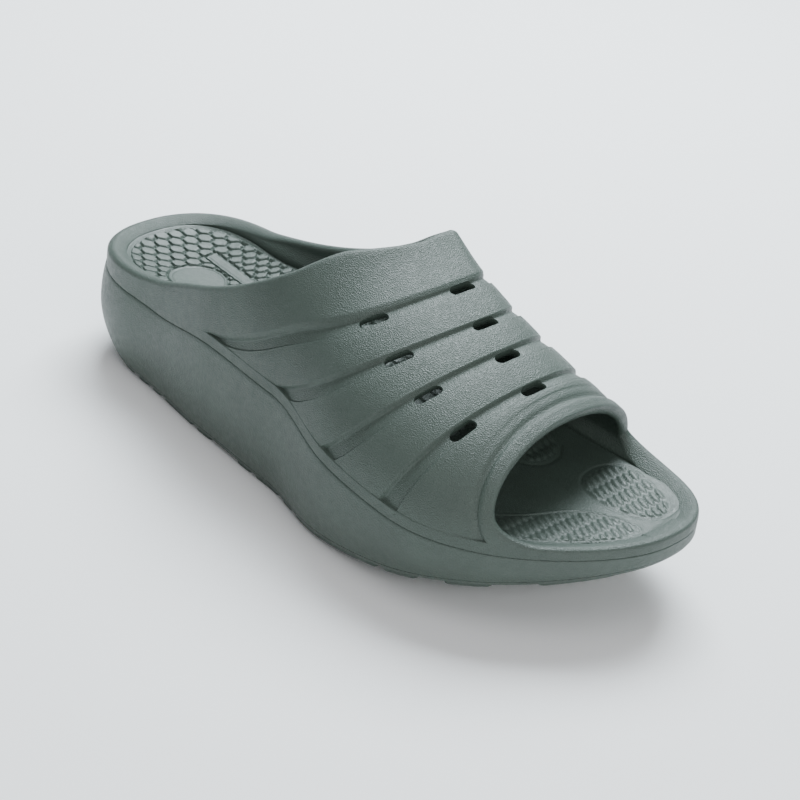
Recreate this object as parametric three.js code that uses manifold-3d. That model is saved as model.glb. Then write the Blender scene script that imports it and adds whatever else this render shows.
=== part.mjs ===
// Sport slide sandal, right foot, moulded in foam: upper, footbed, midsole and outsole.
// Millimetres, +X to the toe, +Y to the inner side of the foot, +Z up, standing on z = 0.
import * as THREE from "three";
import { mergeVertices } from "three/addons/utils/BufferGeometryUtils.js";
import Module from "manifold-3d";

// Overall sizes. Heights are taken above the underside of the plate, which the lugs carry.
const LENGTH = 290;
const BALL_WIDTH = 109;
const HEEL_WIDTH = 80;
const SOLE_HEIGHT = 42;
const CROWN_HEIGHT = 121;
const HEEL_RIM_HEIGHT = 44.3;
const COLLAR_PEAK_HEIGHT = 97.4;
const HEEL_RISE = 11;
const TOE_SPRING = 25;

// Walls, seams and reliefs
const STRAP_WALL = 4.8;
const RIM_RADIUS = STRAP_WALL / 2;
const RIM_SLOPE = 1.15;
const FOOT_WALL = 8.4;
const FOOT_STAND = 1.5;
const FOOT_BLEND = 7;
const WALL_INSET = 1.9;
const TREAD_INSET = 4.6;
const HEEL_TUCK = 6;
const WIDEST = 0.55;
const SKIRT_HEIGHT = 4.3;
const GROOVE_WIDTH = 8.3;
const GROOVE_DEPTH = 1.8;
const LEDGE_SLOPE = 0.6;
const LIP_LIFT = 0.8;
const CREASE_DEPTH = 0.6;
const TOE_RIM_HEIGHT = 1.9;
const SEAM_GAP = 0.3;
const BED_GAP = 1;
const TRAY_DEPTH = 3;
const BED_DISH = 4.2;

// Sole
const PLATE_THICKNESS = 1.5;
const LUG_HEIGHT = 2.8;
const LUG_CHAMFER = 0.7;
const LUG_WIDTH = 21;
const LUG_GAP = 2.4;
const LUG_CHANNEL = 4;

// Slots
const SLOT_LENGTH = 12;
const SLOT_WIDTH = 4.2;
const SLOT_ANGLES = [52, 85];
const SLOT_SIDES = 6;

// Plan of the sole. at: share of the length; centre: share of the ball width;
// flare: 0 at the heel's width, 1 at the ball's width.
const PLAN = [
  { at: 0, centre: 0, flare: 0 },
  { at: 0.172, centre: -0.002, flare: -0.02 },
  { at: 0.345, centre: -0.011, flare: 0.26 },
  { at: 0.483, centre: -0.032, flare: 0.28 },
  { at: 0.621, centre: -0.035, flare: 0.84 },
  { at: 0.741, centre: -0.009, flare: 1 },
  { at: 0.862, centre: 0.071, flare: 0.91 },
  { at: 1, centre: 0.2, flare: 0.54 },
];

// Rounding of the plan's ends. reach: share of the length.
const HEEL_ROUND = { reach: 0.15, power: 2.3 };
const TOE_ROUND = { reach: 0.245, power: 2.25 };

// Ends of the middle line of the sole, as shares of the length.
const MIDDLE_LINE = { start: 0.16, end: 0.8 };

// Where the tread leaves the floor towards either end, as a share of the length.
const HEEL_LIFT = { start: 0.21, power: 2.2 };
const TOE_LIFT = { start: 0.535, power: 1.5 };

// Side of the shoe. at: share of the length; seam: height of the sole's upper edge and
// bed: height of the footbed's edge, both as shares of the sole height; dish: share of the
// bed's dish; inset: share of the wall's inset.
const SIDE = [
  { at: 0, seam: 0.98, bed: 1.03, dish: 0.6, inset: 1 },
  { at: 0.086, seam: 0.907, bed: 1.02, dish: 0.9, inset: 1 },
  { at: 0.207, seam: 0.893, bed: 1.02, dish: 1, inset: 1 },
  { at: 0.345, seam: 1.017, bed: 1.08, dish: 0.7, inset: 1 },
  { at: 0.5, seam: 0.995, bed: 1.06, dish: 0.5, inset: 1 },
  { at: 0.655, seam: 0.824, bed: 0.93, dish: 0.5, inset: 0.8 },
  { at: 0.828, seam: 0.707, bed: 0.765, dish: 0.4, inset: 0.2 },
  { at: 1, seam: 0.755, bed: 0.775, dish: 0.3, inset: 0 },
];

// Crown line of the strap. at: share of the length; height: share of the crown height;
// shift: sideways place, share of the ball width.
const CROWN = [
  { at: 0.207, height: 1, shift: 0.073 },
  { at: 0.379, height: 0.981, shift: 0.22 },
  { at: 0.483, height: 0.906, shift: 0.29 },
  { at: 0.541, height: 0.816, shift: 0.262 },
  { at: 0.593, height: 0.76, shift: 0.208 },
  { at: 0.655, height: 0.705, shift: 0.163 },
  { at: 0.741, height: 0.63, shift: 0.115 },
  { at: 0.828, height: 0.548, shift: 0.092 },
  { at: 0.903, height: 0.462, shift: 0.073 },
];
const ARCH_POWER = 2.03;

// Collar edge seen from the side. at: share of the length; outer and inner: its rise on either
// side of the foot, 0 at the heel's rim and 1 at the peak.
const COLLAR = [
  { at: 0, outer: 0, inner: 0 },
  { at: 0.155, outer: 0.04, inner: 0.055 },
  { at: 0.2, outer: 0.085, inner: 0.1 },
  { at: 0.276, outer: 0.25, inner: 0.195 },
  { at: 0.359, outer: 0.44, inner: 0.355 },
  { at: 0.452, outer: 0.75, inner: 0.635 },
  { at: 0.5, outer: 0.955, inner: 0.79 },
  { at: 0.543, outer: 1, inner: 1 },
];

// Rear edges of the grooves. outer, crown and inner: shares of the length at the outer foot, the
// crown and the inner foot; foot and top: shares of the groove width there; bend: how early the
// line leans.
const GROOVES = [
  { outer: 0.324, crown: 0.612, inner: 0.35, foot: 1.41, top: 0.49, bend: 0.54 },
  { outer: 0.492, crown: 0.671, inner: 0.495, foot: 1.16, top: 0.48, bend: 0.74 },
  { outer: 0.616, crown: 0.721, inner: 0.596, foot: 1, top: 0.63, bend: 0.8 },
  { outer: 0.732, crown: 0.777, inner: 0.7, foot: 1, top: 0.48, bend: 0.98 },
];
const CREASE = { outer: 0.87, crown: 0.817, inner: 0.795, bend: 0.78 };
const TOE_EDGE = { outer: 0.88, crown: 0.8335, inner: 0.805, bend: 0.78 };
const COLLAR_CORNER = 0.303;

// Corners of the toe opening. reach: share of the length; height: share of the sole height.
const TOE_CORNERS = {
  outer: { reach: 0.048, height: 0.262 },
  inner: { reach: 0.138, height: 0.25 },
};

// Lugs of the tread. from and to: shares of the length; middle: whether a bar crosses the sole
// between the two edges there.
const LUGS = [
  { from: 0.1, to: 0.155, middle: false },
  { from: 0.155, to: 0.19, middle: true },
  { from: 0.19, to: 0.222, middle: true },
  { from: 0.222, to: 0.31, middle: true },
  { from: 0.31, to: 0.357, middle: true },
  { from: 0.41, to: 0.452, middle: true },
  { from: 0.452, to: 0.515, middle: true },
  { from: 0.515, to: 0.552, middle: true },
  { from: 0.552, to: 0.738, middle: true },
  { from: 0.738, to: 0.8, middle: true },
  { from: 0.825, to: 0.888, middle: true },
  { from: 0.921, to: 0.992, middle: false },
];

// How finely the faces follow the curves
const HEEL_STEPS = 12;
const TOE_STEPS = 13;
const BAND_STEPS = [0.33, 0.67];
const GROOVE_STEPS = [
  { across: 0, depth: 0 },
  { across: 0.25, depth: 1 },
  { across: 0.85, depth: 1 },
  { across: 1, depth: 0 },
];
const ARCH_STEPS = [0.03, 0.09, 0.18, 0.3, 0.45, 0.62, 0.81, 1];
const COLLAR_STEPS = [0.12, 0.35, 0.65, 0.88, 1];
const CORNER_STEPS = 5;
const ROW_CROWDING = 1.15;
const LIP_FADE_ROWS = 4;
const LIP_STEPS = [
  { across: 0.25, lift: 1 },
  { across: 0.5, lift: 1 },
  { across: 0.78, lift: 1 },
  { across: 1, lift: 0.5 },
];
const RIM_ANGLES = [45, 90, 135];
const PERIMETER_STEPS = 42;
const SIDE_STEPS = [0.16, 0.34, 0.54, 0.76];
const BED_STEPS = [0.08, 0.22, 0.42, 0.7, 1];
const TREAD_STEPS = [0.4, 1];
const LUG_STEP = 18;
const LUG_COLUMNS = 1;

const RIGHT_ANGLE = Math.PI / 2;
const HALF_TURN = Math.PI;
const SMALL_TURN = 0.02;
const TINY = 1e-6;
const SEARCH_STEPS = 40;

// Smooth curve through one column of a table, without overshoot between its rows.
function curve(table, column) {
  const x = table.map((row) => row.at);
  const y = table.map((row) => row[column]);
  const last = x.length - 1;
  const step = x.slice(1).map((v, i) => (y[i + 1] - y[i]) / (v - x[i]));
  const slope = y.map((_, i) => {
    if (i === 0) return step[0];
    if (i === last) return step[last - 1];
    const product = step[i - 1] * step[i];
    return product <= 0 ? 0 : (2 * product) / (step[i - 1] + step[i]);
  });
  return (at) => {
    const v = Math.min(Math.max(at, x[0]), x[last]);
    let i = 0;
    while (i < last - 1 && v > x[i + 1]) i += 1;
    const width = x[i + 1] - x[i];
    const t = (v - x[i]) / width;
    const a = (1 + 2 * t) * (1 - t) ** 2 * y[i] + t * t * (3 - 2 * t) * y[i + 1];
    const b = t * (1 - t) ** 2 * slope[i] - t * t * (1 - t) * slope[i + 1];
    return a + b * width;
  };
}

const mix = (a, b, t) => a + (b - a) * t;
const clamp = (v, low, high) => Math.min(Math.max(v, low), high);
const ease = (t) => clamp(t, 0, 1) ** 2 * (3 - 2 * clamp(t, 0, 1));

const planCentre = curve(PLAN, "centre");
const planFlare = curve(PLAN, "flare");
const seamShare = curve(SIDE, "seam");
const bedShare = curve(SIDE, "bed");
const insetShare = curve(SIDE, "inset");
const crownShare = curve(CROWN, "height");
const crownShift = curve(CROWN, "shift");
const collarOuter = curve(COLLAR, "outer");
const collarInner = curve(COLLAR, "inner");
const CROWN_START = CROWN[0].at * LENGTH;
const CROWN_END = CROWN[CROWN.length - 1].at * LENGTH;
const COLLAR_PEAK = COLLAR[COLLAR.length - 1].at * LENGTH;

const seamHeight = (x) => LUG_HEIGHT + SOLE_HEIGHT * seamShare(x / LENGTH);
const bedEdgeHeight = (x) => LUG_HEIGHT + SOLE_HEIGHT * bedShare(x / LENGTH);
const crownHeight = (x) => LUG_HEIGHT + CROWN_HEIGHT * crownShare(x / LENGTH);
const collarHeight = (x, inner) =>
  LUG_HEIGHT +
  mix(HEEL_RIM_HEIGHT, COLLAR_PEAK_HEIGHT, (inner ? collarInner : collarOuter)(x / LENGTH));
const wallInset = (x) => WALL_INSET * insetShare(x / LENGTH);

// Height of the tread above the floor: it rises at the heel and springs at the toe.
function treadHeight(x) {
  const back = Math.max(0, (HEEL_LIFT.start * LENGTH - x) / (HEEL_LIFT.start * LENGTH));
  const front = Math.max(0, (x / LENGTH - TOE_LIFT.start) / (1 - TOE_LIFT.start));
  return HEEL_RISE * back ** HEEL_LIFT.power + TOE_SPRING * front ** TOE_LIFT.power;
}

// Roundness of the plan's two ends: 1 along the sides, 0 at the very ends.
function endRound(distance, { reach, power }) {
  const t = clamp(1 - distance / (reach * LENGTH), 0, 1);
  return (1 - t ** power) ** (1 / power);
}

// Outline of the sole, side -1 outer and +1 inner; turn runs 0 at the heel to 1 at the toe.
function outlineAt(turn, side) {
  const folded = turn < 0 ? -turn : turn > 1 ? 2 - turn : turn;
  const flip = turn < 0 || turn > 1 ? -side : side;
  const x = (LENGTH * (1 - Math.cos(HALF_TURN * folded))) / 2;
  const half = mix(HEEL_WIDTH, BALL_WIDTH, planFlare(x / LENGTH)) / 2;
  const round = endRound(x, HEEL_ROUND) * endRound(LENGTH - x, TOE_ROUND);
  return new THREE.Vector2(x, planCentre(x / LENGTH) * BALL_WIDTH + flip * half * round);
}

// Point of the outline at station x, moved inwards by inset.
function outline(x, side, inset = 0) {
  const turn = Math.acos(clamp(1 - (2 * x) / LENGTH, -1, 1)) / HALF_TURN;
  const reach = 0.004;
  const point = outlineAt(turn, side);
  const along = outlineAt(turn + reach, side).sub(outlineAt(turn - reach, side)).normalize();
  return point.add(new THREE.Vector2(along.y, -along.x).multiplyScalar(side * inset));
}

// Surface of the strap. x: station; angle: 0 at the outer foot, 90 degrees on the crown,
// 180 degrees at the inner foot.
function arch(x, angle) {
  const side = angle <= RIGHT_ANGLE ? -1 : 1;
  const crownX = clamp(x, CROWN_START, CROWN_END);
  const crownY = crownShift(crownX / LENGTH) * BALL_WIDTH;
  const crownZ = crownHeight(crownX);
  const foot = outline(x, side, wallInset(x));
  const footZ = seamHeight(foot.x);
  const out = Math.abs(Math.cos(angle)) ** (2 / ARCH_POWER);
  const up = Math.abs(Math.sin(angle)) ** (2 / ARCH_POWER);
  return new THREE.Vector3(
    mix(crownX, foot.x, out),
    mix(crownY, foot.y, out),
    mix(footZ, crownZ, up),
  );
}

// Direction square to the strap's surface, pointing out.
function archNormal(x, angle) {
  const low = arch(x, clamp(angle - SMALL_TURN, 0, HALF_TURN));
  const high = arch(x, clamp(angle + SMALL_TURN, 0, HALF_TURN));
  const reach = 1;
  const back = arch(clamp(x - reach, 0, LENGTH), angle);
  const front = arch(clamp(x + reach, 0, LENGTH), angle);
  const around = high.sub(low);
  const along = front.sub(back);
  const atEnd = x < reach || x > LENGTH - reach;
  if (atEnd || along.lengthSq() < TINY) return endNormal(x, angle);
  return around.cross(along).normalize().negate();
}

// At the very ends the surface faces straight back or straight on.
function endNormal(x, angle) {
  const side = angle <= RIGHT_ANGLE ? -1 : 1;
  const foot = outline(x, side, 0);
  const inner = outline(x, side, 1);
  return new THREE.Vector3(foot.x - inner.x, foot.y - inner.y, 0).normalize();
}

// Angle at which the strap's surface stands the given height above the seam.
function angleAtHeight(x, height) {
  const crownX = clamp(x, CROWN_START, CROWN_END);
  const rise = crownHeight(crownX) - seamHeight(x);
  return Math.asin(clamp(height / rise, 0, 1) ** (ARCH_POWER / 2));
}

// Station of a line across the strap at the given angle; it stands upright within the skirt.
function lineStation(line, angle) {
  const foot = (angle <= RIGHT_ANGLE ? line.outer : line.inner) * LENGTH;
  const skirt = angleAtHeight(foot, SKIRT_HEIGHT);
  const low = Math.sin(skirt);
  const t = clamp((Math.sin(angle) - low) / (1 - low), 0, 1);
  return mix(foot, line.crown * LENGTH, t ** line.bend);
}

// Thickness of the wall: thin over the foot, thick where it stands on the sole.
function wallThickness(point) {
  const above = point.z - bedEdgeHeight(point.x) - FOOT_STAND;
  return mix(FOOT_WALL, STRAP_WALL, ease(above / FOOT_BLEND));
}

// Front edge of a groove.
function grooveFront(groove) {
  const foot = (groove.foot * GROOVE_WIDTH) / LENGTH;
  return {
    outer: groove.outer + foot,
    crown: groove.crown + (groove.top * GROOVE_WIDTH) / LENGTH,
    inner: groove.inner + foot,
    bend: groove.bend,
  };
}

// A line between two others.
function between(a, b, t) {
  return {
    outer: mix(a.outer, b.outer, t),
    crown: mix(a.crown, b.crown, t),
    inner: mix(a.inner, b.inner, t),
    bend: mix(a.bend, b.bend, t),
  };
}

// Lines across the strap, from the first groove's rear edge to the crease before the toe.
function strapLines() {
  const lines = [];
  GROOVES.forEach((groove, i) => {
    GROOVE_STEPS.forEach(({ across, depth }) => {
      lines.push({ ...between(groove, grooveFront(groove), across), depth: depth * GROOVE_DEPTH });
    });
    const next = GROOVES[i + 1] ?? CREASE;
    BAND_STEPS.forEach((t) => lines.push({ ...between(grooveFront(groove), next, t), depth: 0 }));
  });
  lines.push({ ...CREASE, depth: CREASE_DEPTH });
  return lines;
}

// Angles of the rows on one half of a line, foot to crown.
function halfRows(line, inner) {
  const foot = (inner ? line.inner : line.outer) * LENGTH;
  const skirt = angleAtHeight(foot, SKIRT_HEIGHT);
  const ledge = angleAtHeight(foot, SKIRT_HEIGHT + LEDGE_SLOPE);
  return [0, skirt, ledge, ...ARCH_STEPS.map((t) => mix(ledge, RIGHT_ANGLE, t))];
}

// Angles of all rows of a line, outer foot over the crown to inner foot.
function lineRows(line) {
  const outer = halfRows(line, false);
  const inner = halfRows(line, true);
  return [...outer, ...inner.slice(0, -1).reverse().map((angle) => HALF_TURN - angle)];
}

// Angle of the collar's edge at a station, counted from the foot on its own side.
const collarAngle = (x, inner) => angleAtHeight(x, collarHeight(x, inner) - seamHeight(x));

// Station at which the collar's edge has the given angle.
function collarStation(angle, inner) {
  let low = 0;
  let high = COLLAR_PEAK;
  for (let i = 0; i < SEARCH_STEPS; i += 1) {
    const x = (low + high) / 2;
    if (arch(x, angle).z > collarHeight(x, inner)) low = x;
    else high = x;
  }
  return (low + high) / 2;
}

// Stations along an end of the sole, closer together where the outline turns.
const endStations = (length, steps) =>
  Array.from({ length: steps }, (_, i) => length * (1 - Math.cos((RIGHT_ANGLE * i) / steps)));

// Closed strip round the collar: each entry pairs a place on its foot with one on its edge.
function collarStrip(line, rows) {
  const cornerX = COLLAR_CORNER * LENGTH;
  const half = (rows.length - 1) / 2;
  const heel = (foot, inner) =>
    endStations(foot, HEEL_STEPS).map((x) => {
      const edge = (x * cornerX) / foot;
      return { foot: [x, 0], edge: [edge, collarAngle(edge, inner)] };
    });
  const over = rows.map((angle, i) => {
    const inner = i > half;
    const rise = (inner ? HALF_TURN - angle : angle) / RIGHT_ANGLE;
    const edgeAngle = mix(collarAngle(cornerX, inner), RIGHT_ANGLE, rise);
    const edge = [collarStation(edgeAngle, inner), inner ? HALF_TURN - edgeAngle : edgeAngle];
    return { row: i, foot: [lineStation(line, angle), angle], edge };
  });
  const innerHeel = heel(line.inner * LENGTH, true).slice(1).reverse();
  return [...heel(line.outer * LENGTH, false), ...over, ...innerHeel.map(toInnerSide)];
}

// The same place on the inner side of the shoe.
const toInnerSide = ({ foot, edge }) => ({
  foot: [foot[0], HALF_TURN - foot[1]],
  edge: [edge[0], HALF_TURN - edge[1]],
});

// Edge of the toe opening over one half of the strap: a rounded corner, then the rear edge.
function toeEdgeHalf(count, inner) {
  const corner = inner ? TOE_CORNERS.inner : TOE_CORNERS.outer;
  const reach = corner.reach * LENGTH;
  const foot = (inner ? TOE_EDGE.inner : TOE_EDGE.outer) * LENGTH;
  const rim = angleAtHeight(foot + reach, TOE_RIM_HEIGHT);
  const top = angleAtHeight(foot, TOE_RIM_HEIGHT + corner.height * SOLE_HEIGHT);
  return Array.from({ length: count }, (_, i) => {
    const bend = clamp(i / CORNER_STEPS, 0, 1) * RIGHT_ANGLE;
    const rise = clamp((i - CORNER_STEPS) / (count - 1 - CORNER_STEPS), 0, 1);
    const angle = mix(mix(rim, top, 1 - Math.cos(bend)), RIGHT_ANGLE, rise ** ROW_CROWDING);
    const side = inner ? HALF_TURN - angle : angle;
    const x = lineStation(TOE_EDGE, side) + reach * (1 - Math.sin(bend));
    return [x, side];
  });
}

// Closed strip from the crease before the toe to the edge of the toe opening.
function toeStrip(line, rows) {
  const half = (rows.length - 1) / 2;
  const outerEdge = toeEdgeHalf(half + 1, false);
  const innerEdge = toeEdgeHalf(half + 1, true);
  const toe = (foot, edgeEnd) =>
    endStations(LENGTH - foot, TOE_STEPS).map((back) => {
      const share = back / (LENGTH - foot);
      const x = mix(LENGTH, edgeEnd, share);
      return { foot: [LENGTH - back, 0], edge: [x, angleAtHeight(x, TOE_RIM_HEIGHT)] };
    });
  const over = rows.map((angle, i) => ({
    row: i,
    foot: [lineStation(line, angle), angle],
    edge: i <= half ? outerEdge[i] : innerEdge[2 * half - i],
  }));
  const innerToe = toe(line.inner * LENGTH, innerEdge[0][0]).slice(1).reverse();
  return [...toe(line.outer * LENGTH, outerEdge[0][0]), ...over, ...innerToe.map(toInnerSide)];
}

// Collects the vertices and faces of one closed solid.
class Faces {
  constructor() {
    this.points = [];
    this.triangles = [];
  }
  add(point) {
    this.points.push(point);
    return this.points.length - 1;
  }
  triangle(a, b, c) {
    if (a !== b && b !== c && c !== a) this.triangles.push(a, b, c);
  }
  quad(a, b, c, d) {
    this.triangle(a, b, c);
    this.triangle(a, c, d);
  }
  geometry() {
    const positions = new Float32Array(this.points.flatMap((p) => [p.x, p.y, p.z]));
    const made = new THREE.BufferGeometry();
    made.setAttribute("position", new THREE.BufferAttribute(positions, 3));
    made.setIndex(this.triangles);
    return made;
  }
}

// The wall as one sheet of places (station, angle, lift), with its three open edges.
function strapSheet() {
  const lines = strapLines();
  const places = [];
  const quads = [];
  const place = (x, angle, lift) => places.push({ x, angle, lift }) - 1;
  const rowCount = lineRows(lines[0]).length;
  const grid = lines.map((line) =>
    lineRows(line).map((angle, j) => {
      const cut = j > 1 && j < rowCount - 2 ? line.depth : 0;
      return place(lineStation(line, angle), angle, -cut);
    }),
  );
  for (let i = 0; i + 1 < grid.length; i += 1) {
    for (let j = 0; j + 1 < rowCount; j += 1) {
      quads.push([grid[i][j], grid[i + 1][j], grid[i + 1][j + 1], grid[i][j + 1]]);
    }
  }
  const ring = (strip, column, steps, liftAt) =>
    strip.map(({ foot, edge, row }) => {
      const first = row === undefined ? place(foot[0], foot[1], 0) : column[row];
      const rest = steps.map(({ across, lift }) =>
        place(mix(foot[0], edge[0], across), mix(foot[1], edge[1], across), lift * liftAt(row)),
      );
      return [first, ...rest];
    });
  const collarSteps = COLLAR_STEPS.map((across) => ({ across, lift: 0 }));
  const first = lines[0];
  const last = lines[lines.length - 1];
  const collar = ring(collarStrip(first, lineRows(first)), grid[0], collarSteps, () => 0);
  const lipLift = (row) =>
    row === undefined ? 0 : LIP_LIFT * ease(Math.min(row, rowCount - 1 - row) / LIP_FADE_ROWS);
  const toe = ring(toeStrip(last, lineRows(last)), grid[grid.length - 1], LIP_STEPS, lipLift);
  const strip = (loop, turned) =>
    loop.forEach((here, i) => {
      const next = loop[(i + 1) % loop.length];
      for (let k = 0; k + 1 < here.length; k += 1) {
        const face = [here[k], next[k], next[k + 1], here[k + 1]];
        quads.push(turned ? face.reverse() : face);
      }
    });
  strip(collar, false);
  strip(toe, true);
  const outerFoot = grid.map((rows) => rows[0]);
  const innerFoot = grid.map((rows) => rows[rowCount - 1]);
  const heelOuter = collar.slice(0, HEEL_STEPS).map((c) => c[0]);
  const heelInner = collar.slice(HEEL_STEPS + rowCount).map((c) => c[0]);
  const toeOuter = toe.slice(0, TOE_STEPS).map((c) => c[0]);
  const toeInner = toe.slice(TOE_STEPS + rowCount).map((c) => c[0]);
  const base = [
    ...heelOuter,
    ...outerFoot,
    ...toeOuter.reverse(),
    ...toeInner.reverse(),
    ...innerFoot.reverse(),
    ...heelInner,
  ];
  return { places, quads, base, collar, toe };
}

// Solid wall: outer skin, inner skin, a flat foot and rounded rims.
function wallSolid({ places, quads, base, collar, toe }) {
  const faces = new Faces();
  const outer = [];
  const inner = [];
  places.forEach(({ x, angle, lift }) => {
    const point = arch(x, angle);
    const normal = archNormal(x, angle);
    const within = point.clone().addScaledVector(normal, -wallThickness(point));
    const atFoot = angle < TINY || angle > HALF_TURN - TINY;
    if (atFoot) within.z = seamHeight(within.x);
    outer.push(faces.add(point.clone().addScaledVector(normal, lift)));
    inner.push(faces.add(within));
  });
  quads.forEach(([a, b, c, d]) => {
    faces.quad(outer[a], outer[b], outer[c], outer[d]);
    faces.quad(inner[d], inner[c], inner[b], inner[a]);
  });
  base.forEach((a, i) => {
    const b = base[(i + 1) % base.length];
    faces.quad(outer[b], outer[a], inner[a], inner[b]);
  });
  const rim = (loop, turned) => {
    const edges = loop.map((cross) => cross[cross.length - 1]);
    const sections = loop.map((cross, i) => {
      const edge = edges[i];
      const before = edges[(i + edges.length - 1) % edges.length];
      const after = edges[(i + 1) % edges.length];
      const from = faces.points[outer[edge]];
      const to = faces.points[inner[edge]];
      const along = faces.points[outer[after]].clone().sub(faces.points[outer[before]]);
      const inwards = to.clone().sub(from);
      const width = inwards.length();
      inwards.normalize();
      const ahead = inwards.clone().cross(along).normalize();
      const back = faces.points[outer[cross[cross.length - 2]]].clone().sub(from);
      if (ahead.dot(back) > 0) ahead.negate();
      const centre = from.clone().addScaledVector(inwards, RIM_RADIUS);
      const round = RIM_ANGLES.map((degrees) => {
        const turn = THREE.MathUtils.degToRad(degrees);
        const outside = turn <= RIGHT_ANGLE;
        const reach = outside ? RIM_RADIUS : width - RIM_RADIUS;
        const thick = (width - STRAP_WALL) / (FOOT_WALL - STRAP_WALL);
        const power = outside ? 2 : mix(2, RIM_SLOPE, clamp(thick, 0, 1));
        const aside = Math.abs(Math.cos(turn)) ** (2 / power) * (outside ? -reach : reach);
        const rise = RIM_RADIUS * Math.sin(turn) ** (2 / power);
        return faces.add(
          centre.clone().addScaledVector(inwards, aside).addScaledVector(ahead, rise),
        );
      });
      return [outer[edge], ...round, inner[edge]];
    });
    sections.forEach((here, i) => {
      const next = sections[(i + 1) % sections.length];
      for (let k = 0; k + 1 < here.length; k += 1) {
        if (turned) faces.quad(here[k + 1], next[k + 1], next[k], here[k]);
        else faces.quad(here[k], next[k], next[k + 1], here[k + 1]);
      }
    });
  };
  rim(collar, false);
  rim(toe, true);
  return faces.geometry();
}

const wasm = await Module();
wasm.setup();
const MERGE_DISTANCE = 1e-4;

// A closed geometry as a solid that can be joined and cut.
function toSolid(geometry) {
  const bare = geometry.clone();
  bare.deleteAttribute("normal");
  bare.deleteAttribute("uv");
  const merged = mergeVertices(bare, MERGE_DISTANCE);
  return new wasm.Manifold(
    new wasm.Mesh({
      numProp: 3,
      vertProperties: merged.attributes.position.array,
      triVerts: new Uint32Array(merged.index.array),
    }),
  );
}

// The solid's faces as a geometry.
function toGeometry(solid) {
  const mesh = solid.getMesh();
  const made = new THREE.BufferGeometry();
  made.setAttribute("position", new THREE.BufferAttribute(mesh.vertProperties, 3));
  made.setIndex(new THREE.BufferAttribute(mesh.triVerts, 1));
  made.computeVertexNormals();
  return made;
}

// Through slot on a groove: a bar with round ends, square to the strap's surface.
function slotCutter(groove, angle) {
  const floor = between(groove, grooveFront(groove), 0.5);
  const at = (turn) => arch(lineStation(floor, turn), turn);
  const along = at(angle + SMALL_TURN).sub(at(angle - SMALL_TURN)).normalize();
  const out = archNormal(lineStation(floor, angle), angle);
  const across = out.clone().cross(along).normalize();
  const square = across.clone().cross(out);
  const radius = SLOT_WIDTH / 2;
  const half = SLOT_LENGTH / 2 - radius;
  const shape = new THREE.Shape();
  shape.absarc(half, 0, radius, -RIGHT_ANGLE, RIGHT_ANGLE);
  shape.absarc(-half, 0, radius, RIGHT_ANGLE, 3 * RIGHT_ANGLE);
  const depth = 4 * STRAP_WALL;
  const bar = new THREE.ExtrudeGeometry(shape, {
    depth,
    bevelEnabled: false,
    curveSegments: SLOT_SIDES,
  });
  bar.translate(0, 0, -depth / 2);
  bar.applyMatrix4(new THREE.Matrix4().makeBasis(square, across, out).setPosition(at(angle)));
  return bar;
}

function upperGeometry() {
  let solid = toSolid(wallSolid(strapSheet()));
  GROOVES.forEach((groove) =>
    SLOT_ANGLES.forEach((degrees) => {
      solid = solid.subtract(toSolid(slotCutter(groove, THREE.MathUtils.degToRad(degrees))));
    }),
  );
  return toGeometry(solid);
}

// Stations of a closed ring round the sole: out along the outer side, back along the inner side.
const ringStations = Array.from({ length: 2 * PERIMETER_STEPS }, (_, i) => {
  const turn = i <= PERIMETER_STEPS ? i / PERIMETER_STEPS : 2 - i / PERIMETER_STEPS;
  const x = (LENGTH * (1 - Math.cos(HALF_TURN * turn))) / 2;
  return { x, side: i <= PERIMETER_STEPS ? -1 : 1 };
});

// Point on the way from the outline, moved in by inset, to the middle line of the sole.
function inwards(x, side, inset, share) {
  const edge = outline(x, side, inset);
  const middleX = clamp(x, MIDDLE_LINE.start * LENGTH, MIDDLE_LINE.end * LENGTH);
  const middle = new THREE.Vector2(middleX, planCentre(middleX / LENGTH) * BALL_WIDTH);
  return edge.lerp(middle, share);
}

// Closed solid from a stack of rings, bottom middle to top middle.
function ringSolid(rings) {
  const faces = new Faces();
  const loops = rings.map(({ inset, share = 0, height }) =>
    ringStations.map(({ x, side }) => {
      const flat = inwards(x, side, inset(x), share);
      return faces.add(new THREE.Vector3(flat.x, flat.y, height(flat.x, share)));
    }),
  );
  loops.slice(1).forEach((upper, k) =>
    upper.forEach((_, i) => {
      const next = (i + 1) % upper.length;
      faces.quad(loops[k][i], loops[k][next], upper[next], upper[i]);
    }),
  );
  return faces.geometry();
}

// Inset of the tread's edge: the heel is tucked in.
function treadInset(x) {
  const tuck = Math.max(0, 1 - x / (HEEL_LIFT.start * LENGTH));
  return TREAD_INSET + HEEL_TUCK * tuck ** HEEL_LIFT.power;
}

// How far the sole's side lies in from its widest line, at a height above the tread.
function sideInset(x, above) {
  const share = above / (seamHeight(x) - treadHeight(x));
  if (share < WIDEST) return treadInset(x) * (1 - share / WIDEST) ** 2;
  return wallInset(x) * ((share - WIDEST) / (1 - WIDEST)) ** 2;
}

const MIDSOLE_FOOT = LUG_HEIGHT + PLATE_THICKNESS + SEAM_GAP;

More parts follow.
